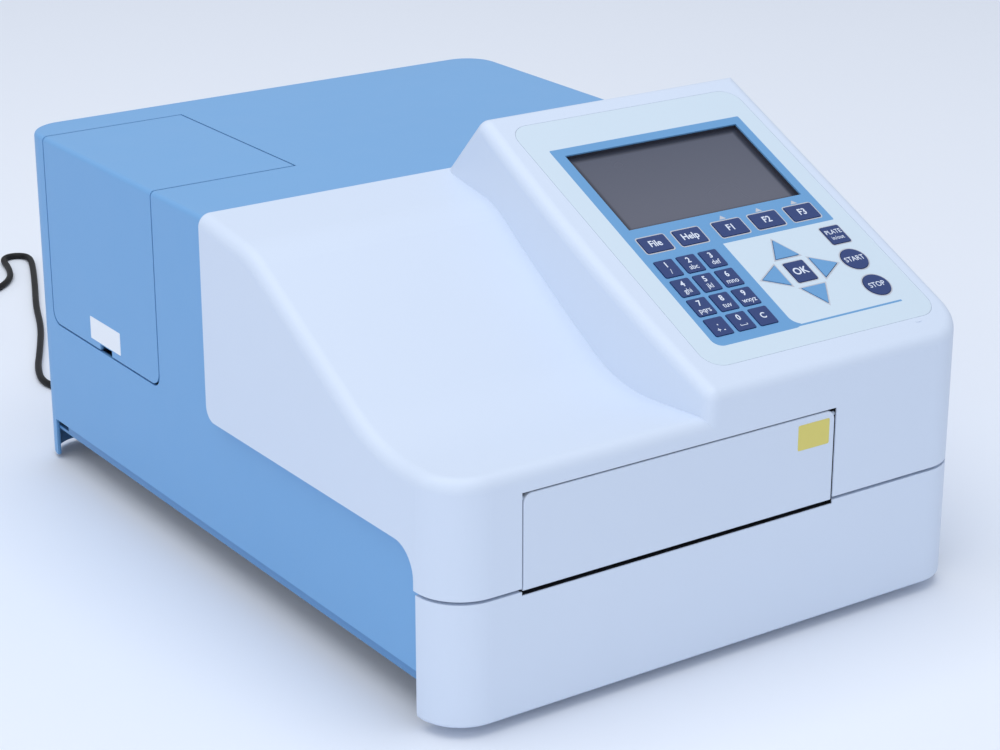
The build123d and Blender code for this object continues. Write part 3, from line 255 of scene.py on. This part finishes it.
def enamel(name, colour, painted_shade=None):
    """Powder coat: fine orange peel over a slow drift in tone; the inside of the casing's sheets gets painted
    shade, a darker blue.
    """
    made = Shader(name)
    tone = made.mix(made.noise(9.0, 3.0), shade(colour, 0.985), shade(colour, 1.015))
    if painted_shade:
        # Painted shade: points deeper than the inset inside the casing's outer faces get the darker blue
        plan = made.box(made.dot(ACROSS), made.dot(INTO), *CASING_PLAN, CASING_CORNER)
        below_top = made.dot(UPWARDS, -CASING_TOP * MM)
        depth = made.math("MAXIMUM", plan, below_top)
        tone = made.mix(made.math("LESS_THAN", depth, -SHADE_INSET * MM), tone, painted_shade)
    made.colour(tone)
    made.roughness(45.0, 0.40, 0.50, detail=4.0)
    peel = made.math("ADD", made.cells(650.0), made.math("MULTIPLY", made.noise(1500.0), 0.5))
    return made.bump(peel, 0.00003, 0.6).set(Specular_IOR_Level=0.4).material


def zinc_and_enamel():
    """Zinc-plated pan, with its side flanges in blue paint that is darker than the casing's; the darker tone
    is painted shade under the casing's edge.
    """
    made = Shader("zinc_sheet")
    spangle = made.math("ADD", made.cells(90.0), made.noise(300.0))
    plated = made.mix(spangle, linear(138, 143, 148), linear(160, 165, 170))
    flange = made.math("GREATER_THAN", made.math("ABSOLUTE", made.dot(ACROSS)), FLANGE_X * MM)
    # Blue flanges, their paint darkened as painted shade under the casing's edge
    made.colour(made.mix(flange, plated, FLANGE_BLUE_AND_SHADE))
    made.link(made.math("SUBTRACT", 1.0, flange), made.surface.inputs["Metallic"])
    made.roughness(POLISH_SCALE, 0.32, 0.46, detail=4.0)
    return made.bump(made.noise(500.0), 0.00001).material


def brushed_steel():
    """Ground steel whose brightness and roughness follow one fine noise."""
    made = Shader("ground_steel")
    rings = made.noise(240.0, 5.0, 0.7)
    made.colour(made.mix(rings, linear(196, 199, 204), linear(216, 219, 224)))
    made.link(made.span(rings, 0.12, 0.22), made.surface.inputs["Roughness"])
    return made.bump(rings, 0.000004).set(Metallic=1.0).material


def solder_resist():
    """Green board with paler copper runs."""
    made = Shader("circuit_board")
    runs = made.tree.nodes.new("ShaderNodeTexBrick")
    runs.inputs["Scale"].default_value = 160.0
    runs.inputs["Mortar Size"].default_value = 0.012
    runs.inputs["Color1"].default_value = linear(28, 84, 56)
    runs.inputs["Color2"].default_value = linear(32, 92, 62)
    runs.inputs["Mortar"].default_value = linear(60, 128, 88)
    made.link(made.place, runs.inputs["Vector"])
    made.colour(runs.outputs["Color"])
    made.roughness(80.0, 0.28, 0.40)
    return made.bump(runs.outputs["Fac"], 0.00002).material


def filter_glass():
    """Coated glass that shifts from blue to violet."""
    made = Shader("filter_glass")
    made.colour(made.mix(made.noise(50.0), linear(92, 118, 190), linear(140, 110, 190)))
    made.roughness(30.0, 0.03, 0.08)
    return made.set(Metallic=0.4).material


# Console coordinates, as in the CAD: x to the right, s down the slope from the upper edge
PITCH = math.radians(25.2)
PANEL_ORIGIN = Vector((0, -0.027, 0.209))
PANEL_UP = Vector((0, math.cos(PITCH), math.sin(PITCH)))
PANEL_OUT = Vector((0, -math.sin(PITCH), math.cos(PITCH)))
PANEL_TURN = Matrix((Vector((1, 0, 0)), PANEL_UP, PANEL_OUT)).transposed()


def on_panel(x, s, lift):
    """Point on the console, with x, s and lift in millimetres."""
    return PANEL_ORIGIN + Vector((x * MM, 0, 0)) - PANEL_UP * (s * MM) + PANEL_OUT * (lift * MM)


def panel_axes(made):
    """The console coordinates x and s of a shaded point, in metres."""
    x = made.dot(ACROSS)
    s = made.dot(-PANEL_UP, PANEL_UP.dot(PANEL_ORIGIN))
    return x, s


# Printed areas of the film and the screen's lit area: lowest x and s, highest x and s, corner radius
SCREEN_FIELD = ((12, 26.5), (125.4, 107), 0.8)
PAD_FIELD = ((12, 60), (62.5, 166), 5)
BARE_FIELD = ((58, 107), (140, 164.6), 6)
BARE_TOP = ((58, 107), (80, 140), 0)
UNDERLINE = ((50, 164.4), (121.5, 165.5), 0.4)
LIT_AREA = ((21.5, 34.5), (117.5, 84.5), 0.5)


def printed_film():
    """Overlay film: pale ground, blue field round the screen and the number pad, thin line under the keys."""
    made = Shader("overlay_film")
    x, s = panel_axes(made)
    bare = made.math("MINIMUM", made.box(x, s, *BARE_FIELD), made.box(x, s, *BARE_TOP))
    pad_field = made.math("MAXIMUM", made.box(x, s, *PAD_FIELD), made.math("MULTIPLY", bare, -1.0))
    fields = made.math("MINIMUM", made.box(x, s, *SCREEN_FIELD), pad_field)
    field = made.math("MINIMUM", fields, made.box(x, s, *UNDERLINE))
    inside = made.math("LESS_THAN", field, 0.0)
    tone = made.noise(12.0, 3.0)
    ground = made.mix(tone, shade(FILM, 0.99), shade(FILM, 1.01))
    blue = made.mix(tone, shade(PRINT_BLUE, 0.985), shade(PRINT_BLUE, 1.015))
    made.colour(made.mix(inside, ground, blue))
    made.roughness(70.0, 0.34, 0.42)
    return made.bump(made.noise(2200.0), 0.00001).material


def screen_panel():
    """Dark frame round a grey panel with a faint drift of reflected light down it."""
    made = Shader("screen")
    x, s = panel_axes(made)
    inside = made.span(made.box(x, s, *LIT_AREA), 1.0, 0.0, -0.0012, 0.0006)
    fall = made.span(s, 0.0, 1.0, 0.031, 0.087)
    grey = made.mix(fall, linear(80, 84, 100), linear(96, 98, 112))
    made.colour(made.mix(inside, linear(52, 54, 66), grey))
    made.roughness(25.0, 0.22, 0.30)
    return made.bump(made.noise(1800.0), 0.000004).material


finishes = {
    "white_moulding": (moulding(), ("front_cover", "front_base")),
    "door": (door_white, ("plate_door",)),
    "casing": (enamel("blue_enamel", BLUE, INSIDE_SHADE_BLUE), ("casing", "lamp_hatch")),
    "rear": (enamel("rear_enamel", BLUE), ("rear_panel",)),
    "zinc": (zinc_and_enamel(), ("chassis",)),
    "bench": (zinc, ("optics_bench",)),
    "rubber": (rubber, ("feet", "tray_belt")),
    "anodised": (anodised, ("tray_carriage", "drive_pulley", "idler_pulley")),
    "black_anodised": (black_anodised, ("plate_tray", "optics_head", "filter_wheel")),
    "steel": (brushed_steel(), ("guide_rods",)),
    "motor": (motor_black, ("tray_motor", "wheel_motor")),
    "board": (solder_resist(), ("main_board", "detector_board", "keypad_board")),
    "sheath": (sheath, ("fibre_bundle", "cord_plug", "cord_connector")),
    "glass": (filter_glass(), ("filters",)),
    "reflector": (reflector, ("lamp",)),
    "ceramic": (ceramic, ("lamp_socket",)),
    "screen": (screen_panel(), ("display",)),
    "film": (printed_film(), ("overlay",)),
    "black": (black_plastic, ("rear_sockets", "switch_body", "switch_rocker")),
    "arrows": (key_blue, ("key_up", "key_down", "key_left", "key_right")),
}
arrow_keys = finishes["arrows"][1]
navy_keys = tuple(name for name in nodes if name.startswith("key_") and name not in arrow_keys)
finishes["keys"] = (key_navy, navy_keys)
for material, names in finishes.values():
    for name in names:
        nodes[name].data.materials.clear()
        nodes[name].data.materials.append(material)


# ---------------------------------------------------------------- supply lead
LEAD_RADIUS = 2.0
FLOOR_Z = 2.05
COIL_CENTRE = (-141.0, 417.0)
route = [
    (-62, 226.5, 37), (-62, 240.5, 37), (-67, 256, 28), (-79, 265, 12), (-94, 268, FLOOR_Z),
    (-101, 285, FLOOR_Z), (-94, 308, FLOOR_Z), (-79, 337, FLOOR_Z), (-61, 374, FLOOR_Z),
    (-47, 412, FLOOR_Z), (-31, 448, FLOOR_Z), (-15, 486, FLOOR_Z), (-9, 503, FLOOR_Z),
    (-10.3, 511.1, FLOOR_Z), (-18, 515.1, FLOOR_Z), (-25.7, 510.6, FLOOR_Z), (-28.8, 493, FLOOR_Z),
    (-36.5, 472, FLOOR_Z), (-52, 456.5, FLOOR_Z), (-77, 447, FLOOR_Z), (-105, 444, FLOOR_Z),
    (-131, 440.5, FLOOR_Z),
]
# The coil's turns lie in two columns, one above the other. Each turn holds its slot, then moves to the next
OUTER_TURN = 24.2
INNER_TURN = 19.8
LAYER = 4.1
COIL_SLOTS = (
    (OUTER_TURN, 0), (INNER_TURN, 0), (INNER_TURN, 1), (INNER_TURN, 2), (OUTER_TURN, 2), (OUTER_TURN, 1),
)
TURN_STEP = 20
HOLD_STEPS = 14
CHANGE_STEPS = 3
angle = 80
for radius, level in COIL_SLOTS:
    for step in range(HOLD_STEPS + 1):
        turned = math.radians(angle)
        route.append((
            COIL_CENTRE[0] + radius * math.cos(turned),
            COIL_CENTRE[1] + radius * math.sin(turned),
            FLOOR_Z + LAYER * level,
        ))
        angle += TURN_STEP
    angle += (CHANGE_STEPS - 1) * TURN_STEP
# The tail runs on into the connector
CONNECTOR_START = Vector((-122.0, 387.0, 5.0))
last_turn = Vector(route[-1])
route += [tuple(last_turn.lerp(CONNECTOR_START, share)) for share in (0.35, 0.7, 1.0)]
route.append((CONNECTOR_START.x + 3.0, CONNECTOR_START.y, CONNECTOR_START.z))

curve = bpy.data.curves.new("cord_lead", "CURVE")
curve.dimensions = "3D"
curve.bevel_depth = LEAD_RADIUS * MM
curve.bevel_resolution = 4
curve.use_fill_caps = True
spline = curve.splines.new("NURBS")
spline.points.add(len(route) - 1)
for point, place in zip(spline.points, route):
    point.co = (*(value * MM for value in place), 1.0)
spline.order_u = 3
spline.use_endpoint_u = True
spline.resolution_u = 8
lead = bpy.data.objects.new("cord_lead", curve)
scene.collection.objects.link(lead)
lead.data.materials.append(sheath)
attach(lead, "housing")
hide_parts("cord", "cord_coil")


# ---------------------------------------------------------------- thin pieces on the console
def link_mesh(name, bm, material, body):
    """Turn a bmesh into a piece that rides on a body."""
    mesh = bpy.data.meshes.new(name)
    bm.normal_update()
    bm.to_mesh(mesh)
    bm.free()
    piece = bpy.data.objects.new(name, mesh)
    scene.collection.objects.link(piece)
    mesh.materials.append(material)
    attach(piece, body)


def plate(bm, outline, place, depth, hole=None):
    """Flat closed plate; place turns an outline point and a height into a point in space."""
    rings = []
    for height in (0.0, depth):
        for path in (outline, hole):
            if path:
                rings.append([bm.verts.new(place(*point, height)) for point in path])
    if hole:
        low_out, low_in, high_out, high_in = rings
        pairs = ((low_out, high_out, False), (low_in, high_in, True))
        for ring_a, ring_b, flip in ((low_out, low_in, True), (high_out, high_in, False)):
            for k in range(len(ring_a)):
                n = (k + 1) % len(ring_a)
                face = [ring_a[k], ring_a[n], ring_b[n], ring_b[k]]
                bm.faces.new(face[::-1] if flip else face)
    else:
        low_out, high_out = rings
        pairs = ((low_out, high_out, False),)
        bm.faces.new(low_out[::-1])
        bm.faces.new(high_out)
    for low, high, flip in pairs:
        for k in range(len(low)):
            n = (k + 1) % len(low)
            face = [low[k], low[n], high[n], high[k]]
            bm.faces.new(face[::-1] if flip else face)


CORNER_STEPS = 4


def rectangle(left, right, upper, lower, radius):
    """Rounded rectangle as a list of points, counter-clockwise when s runs down."""
    points = []
    corners = ((right - radius, upper + radius, 0), (left + radius, upper + radius, 90),
               (left + radius, lower - radius, 180), (right - radius, lower - radius, 270))
    for x, s, start in corners:
        for step in range(CORNER_STEPS + 1):
            turned = math.radians(start + 90 * step / CORNER_STEPS)
            points.append((x + radius * math.cos(turned), s - radius * math.sin(turned)))
    return points


def grown(points, distance):
    """Convex outline moved outwards by a distance, with mitred corners."""
    moved = []
    for k, point in enumerate(points):
        before = Vector(point) - Vector(points[k - 1])
        after = Vector(points[(k + 1) % len(points)]) - Vector(point)
        sides = [Vector((-edge.y, edge.x)).normalized() for edge in (before, after)]
        mitre = (sides[0] + sides[1]) * (distance / (1 + sides[0].dot(sides[1])))
        moved.append(tuple(Vector(point) + mitre))
    return moved


# Keys' places as in the CAD, in console coordinates and millimetres
FUNCTION_KEYS = {
    "file": (17.4, 15.0), "help": (37.5, 15.0), "f1": (60.8, 16.2), "f2": (82.4, 16.2), "f3": (104.0, 16.2),
}
FUNCTION_ROW = (93.3, 103.3)
PAD_CORNER = (16.0, 109.3)
PAD_KEY = (10.1, 11.0)
PAD_PITCH = (12.7, 13.3)
OK_KEY = (78.2, 89.7, 127.5, 140.6)
DOOR_KEY = (112.9, 123.9, 111.0, 122.7)
KEY_CORNER = 0.8
KEY_GAP = 0.25
KEY_TOP = 0.4
ROUND_RADIUS = 6.8
ROUND_STEP = 9
ROUND_KEYS = {"start": (116.7, 134.2), "stop": (116.0, 152.6)}
# Printed ink: lift off the film, thickness, gap to a key, widths of the frames, and the marks over F1 to F3
INK_LIFT = 0.02
INK_THICK = 0.04
INK_GAP = 0.02
FRAME_WIDTH = 0.65
THIN_FRAME_WIDTH = 0.5
MARK_PLACES = (68.9, 90.5, 112.1)
MARK_BASE = 91.9
MARK_SIZE = (2.0, 2.5)

framed = {}
for name, (x, across) in FUNCTION_KEYS.items():
    framed[name] = rectangle(x, x + across, *FUNCTION_ROW, KEY_CORNER)
framed["ok"] = rectangle(*OK_KEY, KEY_CORNER)
framed["door"] = rectangle(*DOOR_KEY, KEY_CORNER)
for name, (x, s) in ROUND_KEYS.items():
    framed[name] = [
        (x + ROUND_RADIUS * math.cos(math.radians(a)), s - ROUND_RADIUS * math.sin(math.radians(a)))
        for a in range(0, 360, ROUND_STEP)
    ]
ARROW_CENTRE = (83.8, 134.1)
ARROW_REACH = (10.4, 10.3)
ARROW_LENGTH = 11.8
ARROW_HALF = 6.8
for name, out, across in (
    ("up", (0, -1), (1, 0)), ("right", (1, 0), (0, 1)), ("down", (0, 1), (-1, 0)), ("left", (-1, 0), (0, -1))
):
    base = (ARROW_CENTRE[0] + out[0] * ARROW_REACH[0], ARROW_CENTRE[1] + out[1] * ARROW_REACH[1])
    framed[name] = [
        (base[0] + across[0] * ARROW_HALF, base[1] + across[1] * ARROW_HALF),
        (base[0] + out[0] * ARROW_LENGTH, base[1] + out[1] * ARROW_LENGTH),
        (base[0] - across[0] * ARROW_HALF, base[1] - across[1] * ARROW_HALF),
    ]
for name, outline in framed.items():
    bm = bmesh.new()
    width = FRAME_WIDTH if name not in ("ok", "door") else THIN_FRAME_WIDTH
    plate(
        bm, grown(outline, KEY_GAP + width),
        lambda x, s, height: on_panel(x, s, INK_LIFT + height), INK_THICK, grown(outline, KEY_GAP + INK_GAP),
    )
    link_mesh("frame_" + name, bm, ink_grey, "housing")

for index, x in enumerate(MARK_PLACES):
    half, tall = MARK_SIZE
    bm = bmesh.new()
    plate(
        bm, [(x + half, MARK_BASE), (x, MARK_BASE - tall), (x - half, MARK_BASE)],
        lambda a, b, height: on_panel(a, b, INK_LIFT + height), INK_THICK,
    )
    link_mesh(f"mark_f{index + 1}", bm, ink_grey, "housing")


# ---------------------------------------------------------------- legends on the keys
NARROW = 0.9


def legend(name, text, x, s, size, body, bold):
    """Printed text, centred at x, s on a key's top; size and bold, the strokes' growth, in millimetres."""
    font = bpy.data.curves.new(name, "FONT")
    font.body = text
    font.size = size * MM
    font.align_x = "CENTER"
    font.align_y = "CENTER"
    font.extrude = INK_THICK / 2 * MM
    font.offset = bold * MM
    font.resolution_u = 3
    piece = bpy.data.objects.new(name, font)
    scene.collection.objects.link(piece)
    place = Matrix.Translation(on_panel(x, s, KEY_TOP + INK_THICK / 2))
    piece.matrix_world = place @ PANEL_TURN.to_4x4() @ Matrix.Diagonal((NARROW, 1, 1, 1))
    font.materials.append(ink_white)
    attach(piece, body)


FUNCTION_LEGENDS = {"file": "File", "help": "Help", "f1": "F1", "f2": "F2", "f3": "F3"}
for name, (x, across) in FUNCTION_KEYS.items():
    middle = sum(FUNCTION_ROW) / 2
    legend("legend_" + name, FUNCTION_LEGENDS[name], x + across / 2, middle, 5.6, f"key_{name}_cap", 0.10)
PAD_LEGENDS = (
    ("1", "1", "/"), ("2", "2", "abc"), ("3", "3", "def"), ("4", "4", "ghi"), ("5", "5", "jkl"),
    ("6", "6", "mno"), ("7", "7", "pqrs"), ("8", "8", "tuv"), ("9", "9", "wxyz"), ("sign", ".", "+ -"),
    ("0", "0", ""), ("clear", "C", ""),
)
UPPER_RISE = 2.2
LOWER_DROP = 2.4


def pad_middle(index):
    """Middle of a number key, counted along the rows from the upper left."""
    row, column = divmod(index, 3)
    x = PAD_CORNER[0] + PAD_PITCH[0] * column + PAD_KEY[0] / 2
    s = PAD_CORNER[1] + PAD_PITCH[1] * row + PAD_KEY[1] / 2
    return x, s


for index, (name, upper, lower) in enumerate(PAD_LEGENDS):
    x, s = pad_middle(index)
    body = f"key_{name}_cap"
    rise = 0.0 if name == "clear" else UPPER_RISE
    legend(f"legend_{name}", upper, x, s - rise, 4.8, body, 0.10)
    if lower:
        legend(f"legend_{name}_lower", lower, x, s + LOWER_DROP, 4.2, body, 0.02)
ok_middle = (sum(OK_KEY[:2]) / 2, sum(OK_KEY[2:]) / 2)
door_middle = sum(DOOR_KEY[:2]) / 2
legend("legend_ok", "OK", *ok_middle, 6.2, "key_ok_cap", 0.12)
legend("legend_plate", "PLATE", door_middle, 115.0, 3.9, "key_door_cap", 0.03)
legend("legend_in_out", "in/out", door_middle, 119.0, 3.4, "key_door_cap", 0.02)
legend("legend_start", "START", *ROUND_KEYS["start"], 4.4, "key_start_cap", 0.03)
legend("legend_stop", "STOP", *ROUND_KEYS["stop"], 4.4, "key_stop_cap", 0.03)

# Mark for a space on the zero key: a line with its ends turned up
SPACE_HALF = 2.0
SPACE_RISE = 1.0
SPACE_STROKE = 0.3
SPACE_DROP = 2.9
zero_x, zero_s = pad_middle(10)
low = zero_s + SPACE_DROP
inner_half = SPACE_HALF - SPACE_STROKE
bm = bmesh.new()
plate(
    bm,
    [(zero_x + SPACE_HALF, low - SPACE_RISE), (zero_x + inner_half, low - SPACE_RISE),
     (zero_x + inner_half, low - SPACE_STROKE), (zero_x - inner_half, low - SPACE_STROKE),
     (zero_x - inner_half, low - SPACE_RISE), (zero_x - SPACE_HALF, low - SPACE_RISE),
     (zero_x - SPACE_HALF, low), (zero_x + SPACE_HALF, low)],
    lambda a, b, height: on_panel(a, b, KEY_TOP + height), INK_THICK,
)
link_mesh("legend_space", bm, ink_white, "key_0_cap")


# ---------------------------------------------------------------- blank labels
LABEL_THICK = 0.12
FRONT_FACE = -200.0
CASING_SIDE = CASING_PLAN[0][0]
# The door's label by x and -z, the hatch's by -y and -z: left, right, upper and lower edge, corner radius
DOOR_LABEL = (41.0, 59.0, -102.5, -90.5, 0.8)
HATCH_LABEL = (-131.0, -98.0, -94.8, -83.1, 0.6)
bm = bmesh.new()
plate(
    bm, rectangle(*DOOR_LABEL),
    lambda x, z, height: Vector((x, FRONT_FACE - height, -z)) * MM, LABEL_THICK,
)
link_mesh("label_door", bm, label_yellow, "door")
bm = bmesh.new()
plate(
    bm, rectangle(*HATCH_LABEL),
    lambda y, z, height: Vector((CASING_SIDE - height, -y, -z)) * MM, LABEL_THICK,
)
link_mesh("label_hatch", bm, label_white, "hatch")


# ---------------------------------------------------------------- screws and contacts
SCREW_RADIUS = 3.0
SCREW_STEPS = 32
# Pan head: rings by distance from the axis and height, the crown round the recess, and the recess's floor,
# all as shares of the head's radius
HEAD_RINGS = ((1.0, 0.0), (1.0, 0.16), (0.86, 0.36), (0.62, 0.46))
CROWN_REACH = 0.5
CROWN_HEIGHT = 0.47
RECESS_HEIGHT = 0.22


def screw(name, place, out):
    """Pan head with a cross recess on the housing, standing on a face; place in millimetres."""
    bm = bmesh.new()
    out = Vector(out)
    side = out.orthogonal().normalized()
    up = out.cross(side)

    def vertex(step, reach, height):
        turned = 2 * math.pi * step / SCREW_STEPS
        flat = side * math.cos(turned) + up * math.sin(turned)
        return bm.verts.new((Vector(place) + (flat * reach + out * height) * SCREW_RADIUS) * MM)

    rings = [[vertex(step, *ring) for step in range(SCREW_STEPS)] for ring in HEAD_RINGS]
    # Cross recess: the crown's points in the two slots lie lower
    heights = [RECESS_HEIGHT if step % 8 in (0, 1, 7) else CROWN_HEIGHT for step in range(SCREW_STEPS)]
    crown = [vertex(step, CROWN_REACH, height) for step, height in enumerate(heights)]
    rings.append(crown)
    for lower, upper in zip(rings, rings[1:]):
        for k in range(SCREW_STEPS):
            n = (k + 1) % SCREW_STEPS
            bm.faces.new((lower[k], lower[n], upper[n], upper[k]))
    middle = vertex(0, 0.0, RECESS_HEIGHT)
    for k in range(SCREW_STEPS):
        bm.faces.new((crown[k], crown[(k + 1) % SCREW_STEPS], middle))
    bm.faces.new(rings[0][::-1])
    link_mesh(name, bm, screw_steel, "housing")


# Through the casing's rear face into the rear panel's rim
REAR_FACE = 200.0
for column, x in enumerate((-111.8, 111.8)):
    for row, z in enumerate((32.0, 99.0, 166.0)):
        screw(f"screw_rear_{column}{row}", (x, REAR_FACE, z), (0, 1, 0))
# Up through the pan into the casing's flanges
PAN_BOTTOM = 17.3
for column, x in enumerate((-128.0, 128.0)):
    for row, y in enumerate((-150.0, 0.0, 150.0)):
        screw(f"screw_pan_{column}{row}", (x, y, PAN_BOTTOM), (0, 0, -1))

# Tongue and contacts of the data port
PORT = Vector((-22.0, 194.0, 40.0))
BLOCK_EDGE = 0.03
CONTACT_COUNT = 4
CONTACT_PITCH = 1.5
CONTACT_HALF = 0.35


def block(name, low, high, material):
    """Small block with broken edges, between two corners in millimetres from the port."""
    bm = bmesh.new()
    bmesh.ops.create_cube(bm, size=1.0)
    for vertex in bm.verts:
        share = vertex.co + Vector((0.5, 0.5, 0.5))
        vertex.co = (PORT + Vector([a + (b - a) * k for a, b, k in zip(low, high, share)])) * MM
    bmesh.ops.bevel(bm, geom=bm.edges[:], offset=BLOCK_EDGE * MM, segments=2, profile=0.5, affect="EDGES")
    link_mesh(name, bm, material, "housing")


block("port_tongue", (-2.8, -10.8, -0.2), (2.8, -1.0, 2.0), black_plastic)
for index in range(CONTACT_COUNT):
    x = CONTACT_PITCH * (index - (CONTACT_COUNT - 1) / 2)
    contact_low = (x - CONTACT_HALF, -10.0, -0.32)
    contact_high = (x + CONTACT_HALF, -1.6, -0.18)
    block(f"port_contact_{index}", contact_low, contact_high, gold)


# ---------------------------------------------------------------- floor and light
HALF_FLOOR = 6.0
LAMP_AIM = Vector((0, 0, 0.1))
LAMP_TINT = (0.97, 0.985, 1.0)
WORLD_STRENGTH = 0.62
bm = bmesh.new()
floor_corners = [(x * HALF_FLOOR, y * HALF_FLOOR, 0) for x, y in ((-1, -1), (1, -1), (1, 1), (-1, 1))]
bm.faces.new([bm.verts.new(corner) for corner in floor_corners])
floor_mesh = bpy.data.meshes.new("floor")
bm.to_mesh(floor_mesh)
bm.free()
floor = bpy.data.objects.new("floor", floor_mesh)
scene.collection.objects.link(floor)
floor_shader = Shader("floor")
floor_shader.set(Base_Color=linear(236, 241, 250), Roughness=0.7)
floor_mesh.materials.append(floor_shader.material)

world = bpy.data.worlds.new("world")
scene.world = world
world.use_nodes = True
background = world.node_tree.nodes["Background"]
background.inputs["Color"].default_value = linear(240, 245, 254)
background.inputs["Strength"].default_value = WORLD_STRENGTH


def softbox(name, place, side, power):
    """Square area lamp that looks at the object; side in metres, power in watts."""
    lamp = bpy.data.objects.new(name, bpy.data.lights.new(name, "AREA"))
    lamp.data.shape = "SQUARE"
    lamp.data.size = side
    lamp.data.energy = power
    lamp.data.color = LAMP_TINT
    scene.collection.objects.link(lamp)
    lamp.location = place
    lamp.rotation_mode = "QUATERNION"
    lamp.rotation_quaternion = (LAMP_AIM - Vector(place)).to_track_quat("-Z", "Y")


softbox("softbox_top", (-0.3, 0.0, 2.4), 2.6, 32)
softbox("softbox_left", (-2.0, -1.8, 1.0), 1.8, 13.5)

scene.view_settings.view_transform = "Standard"
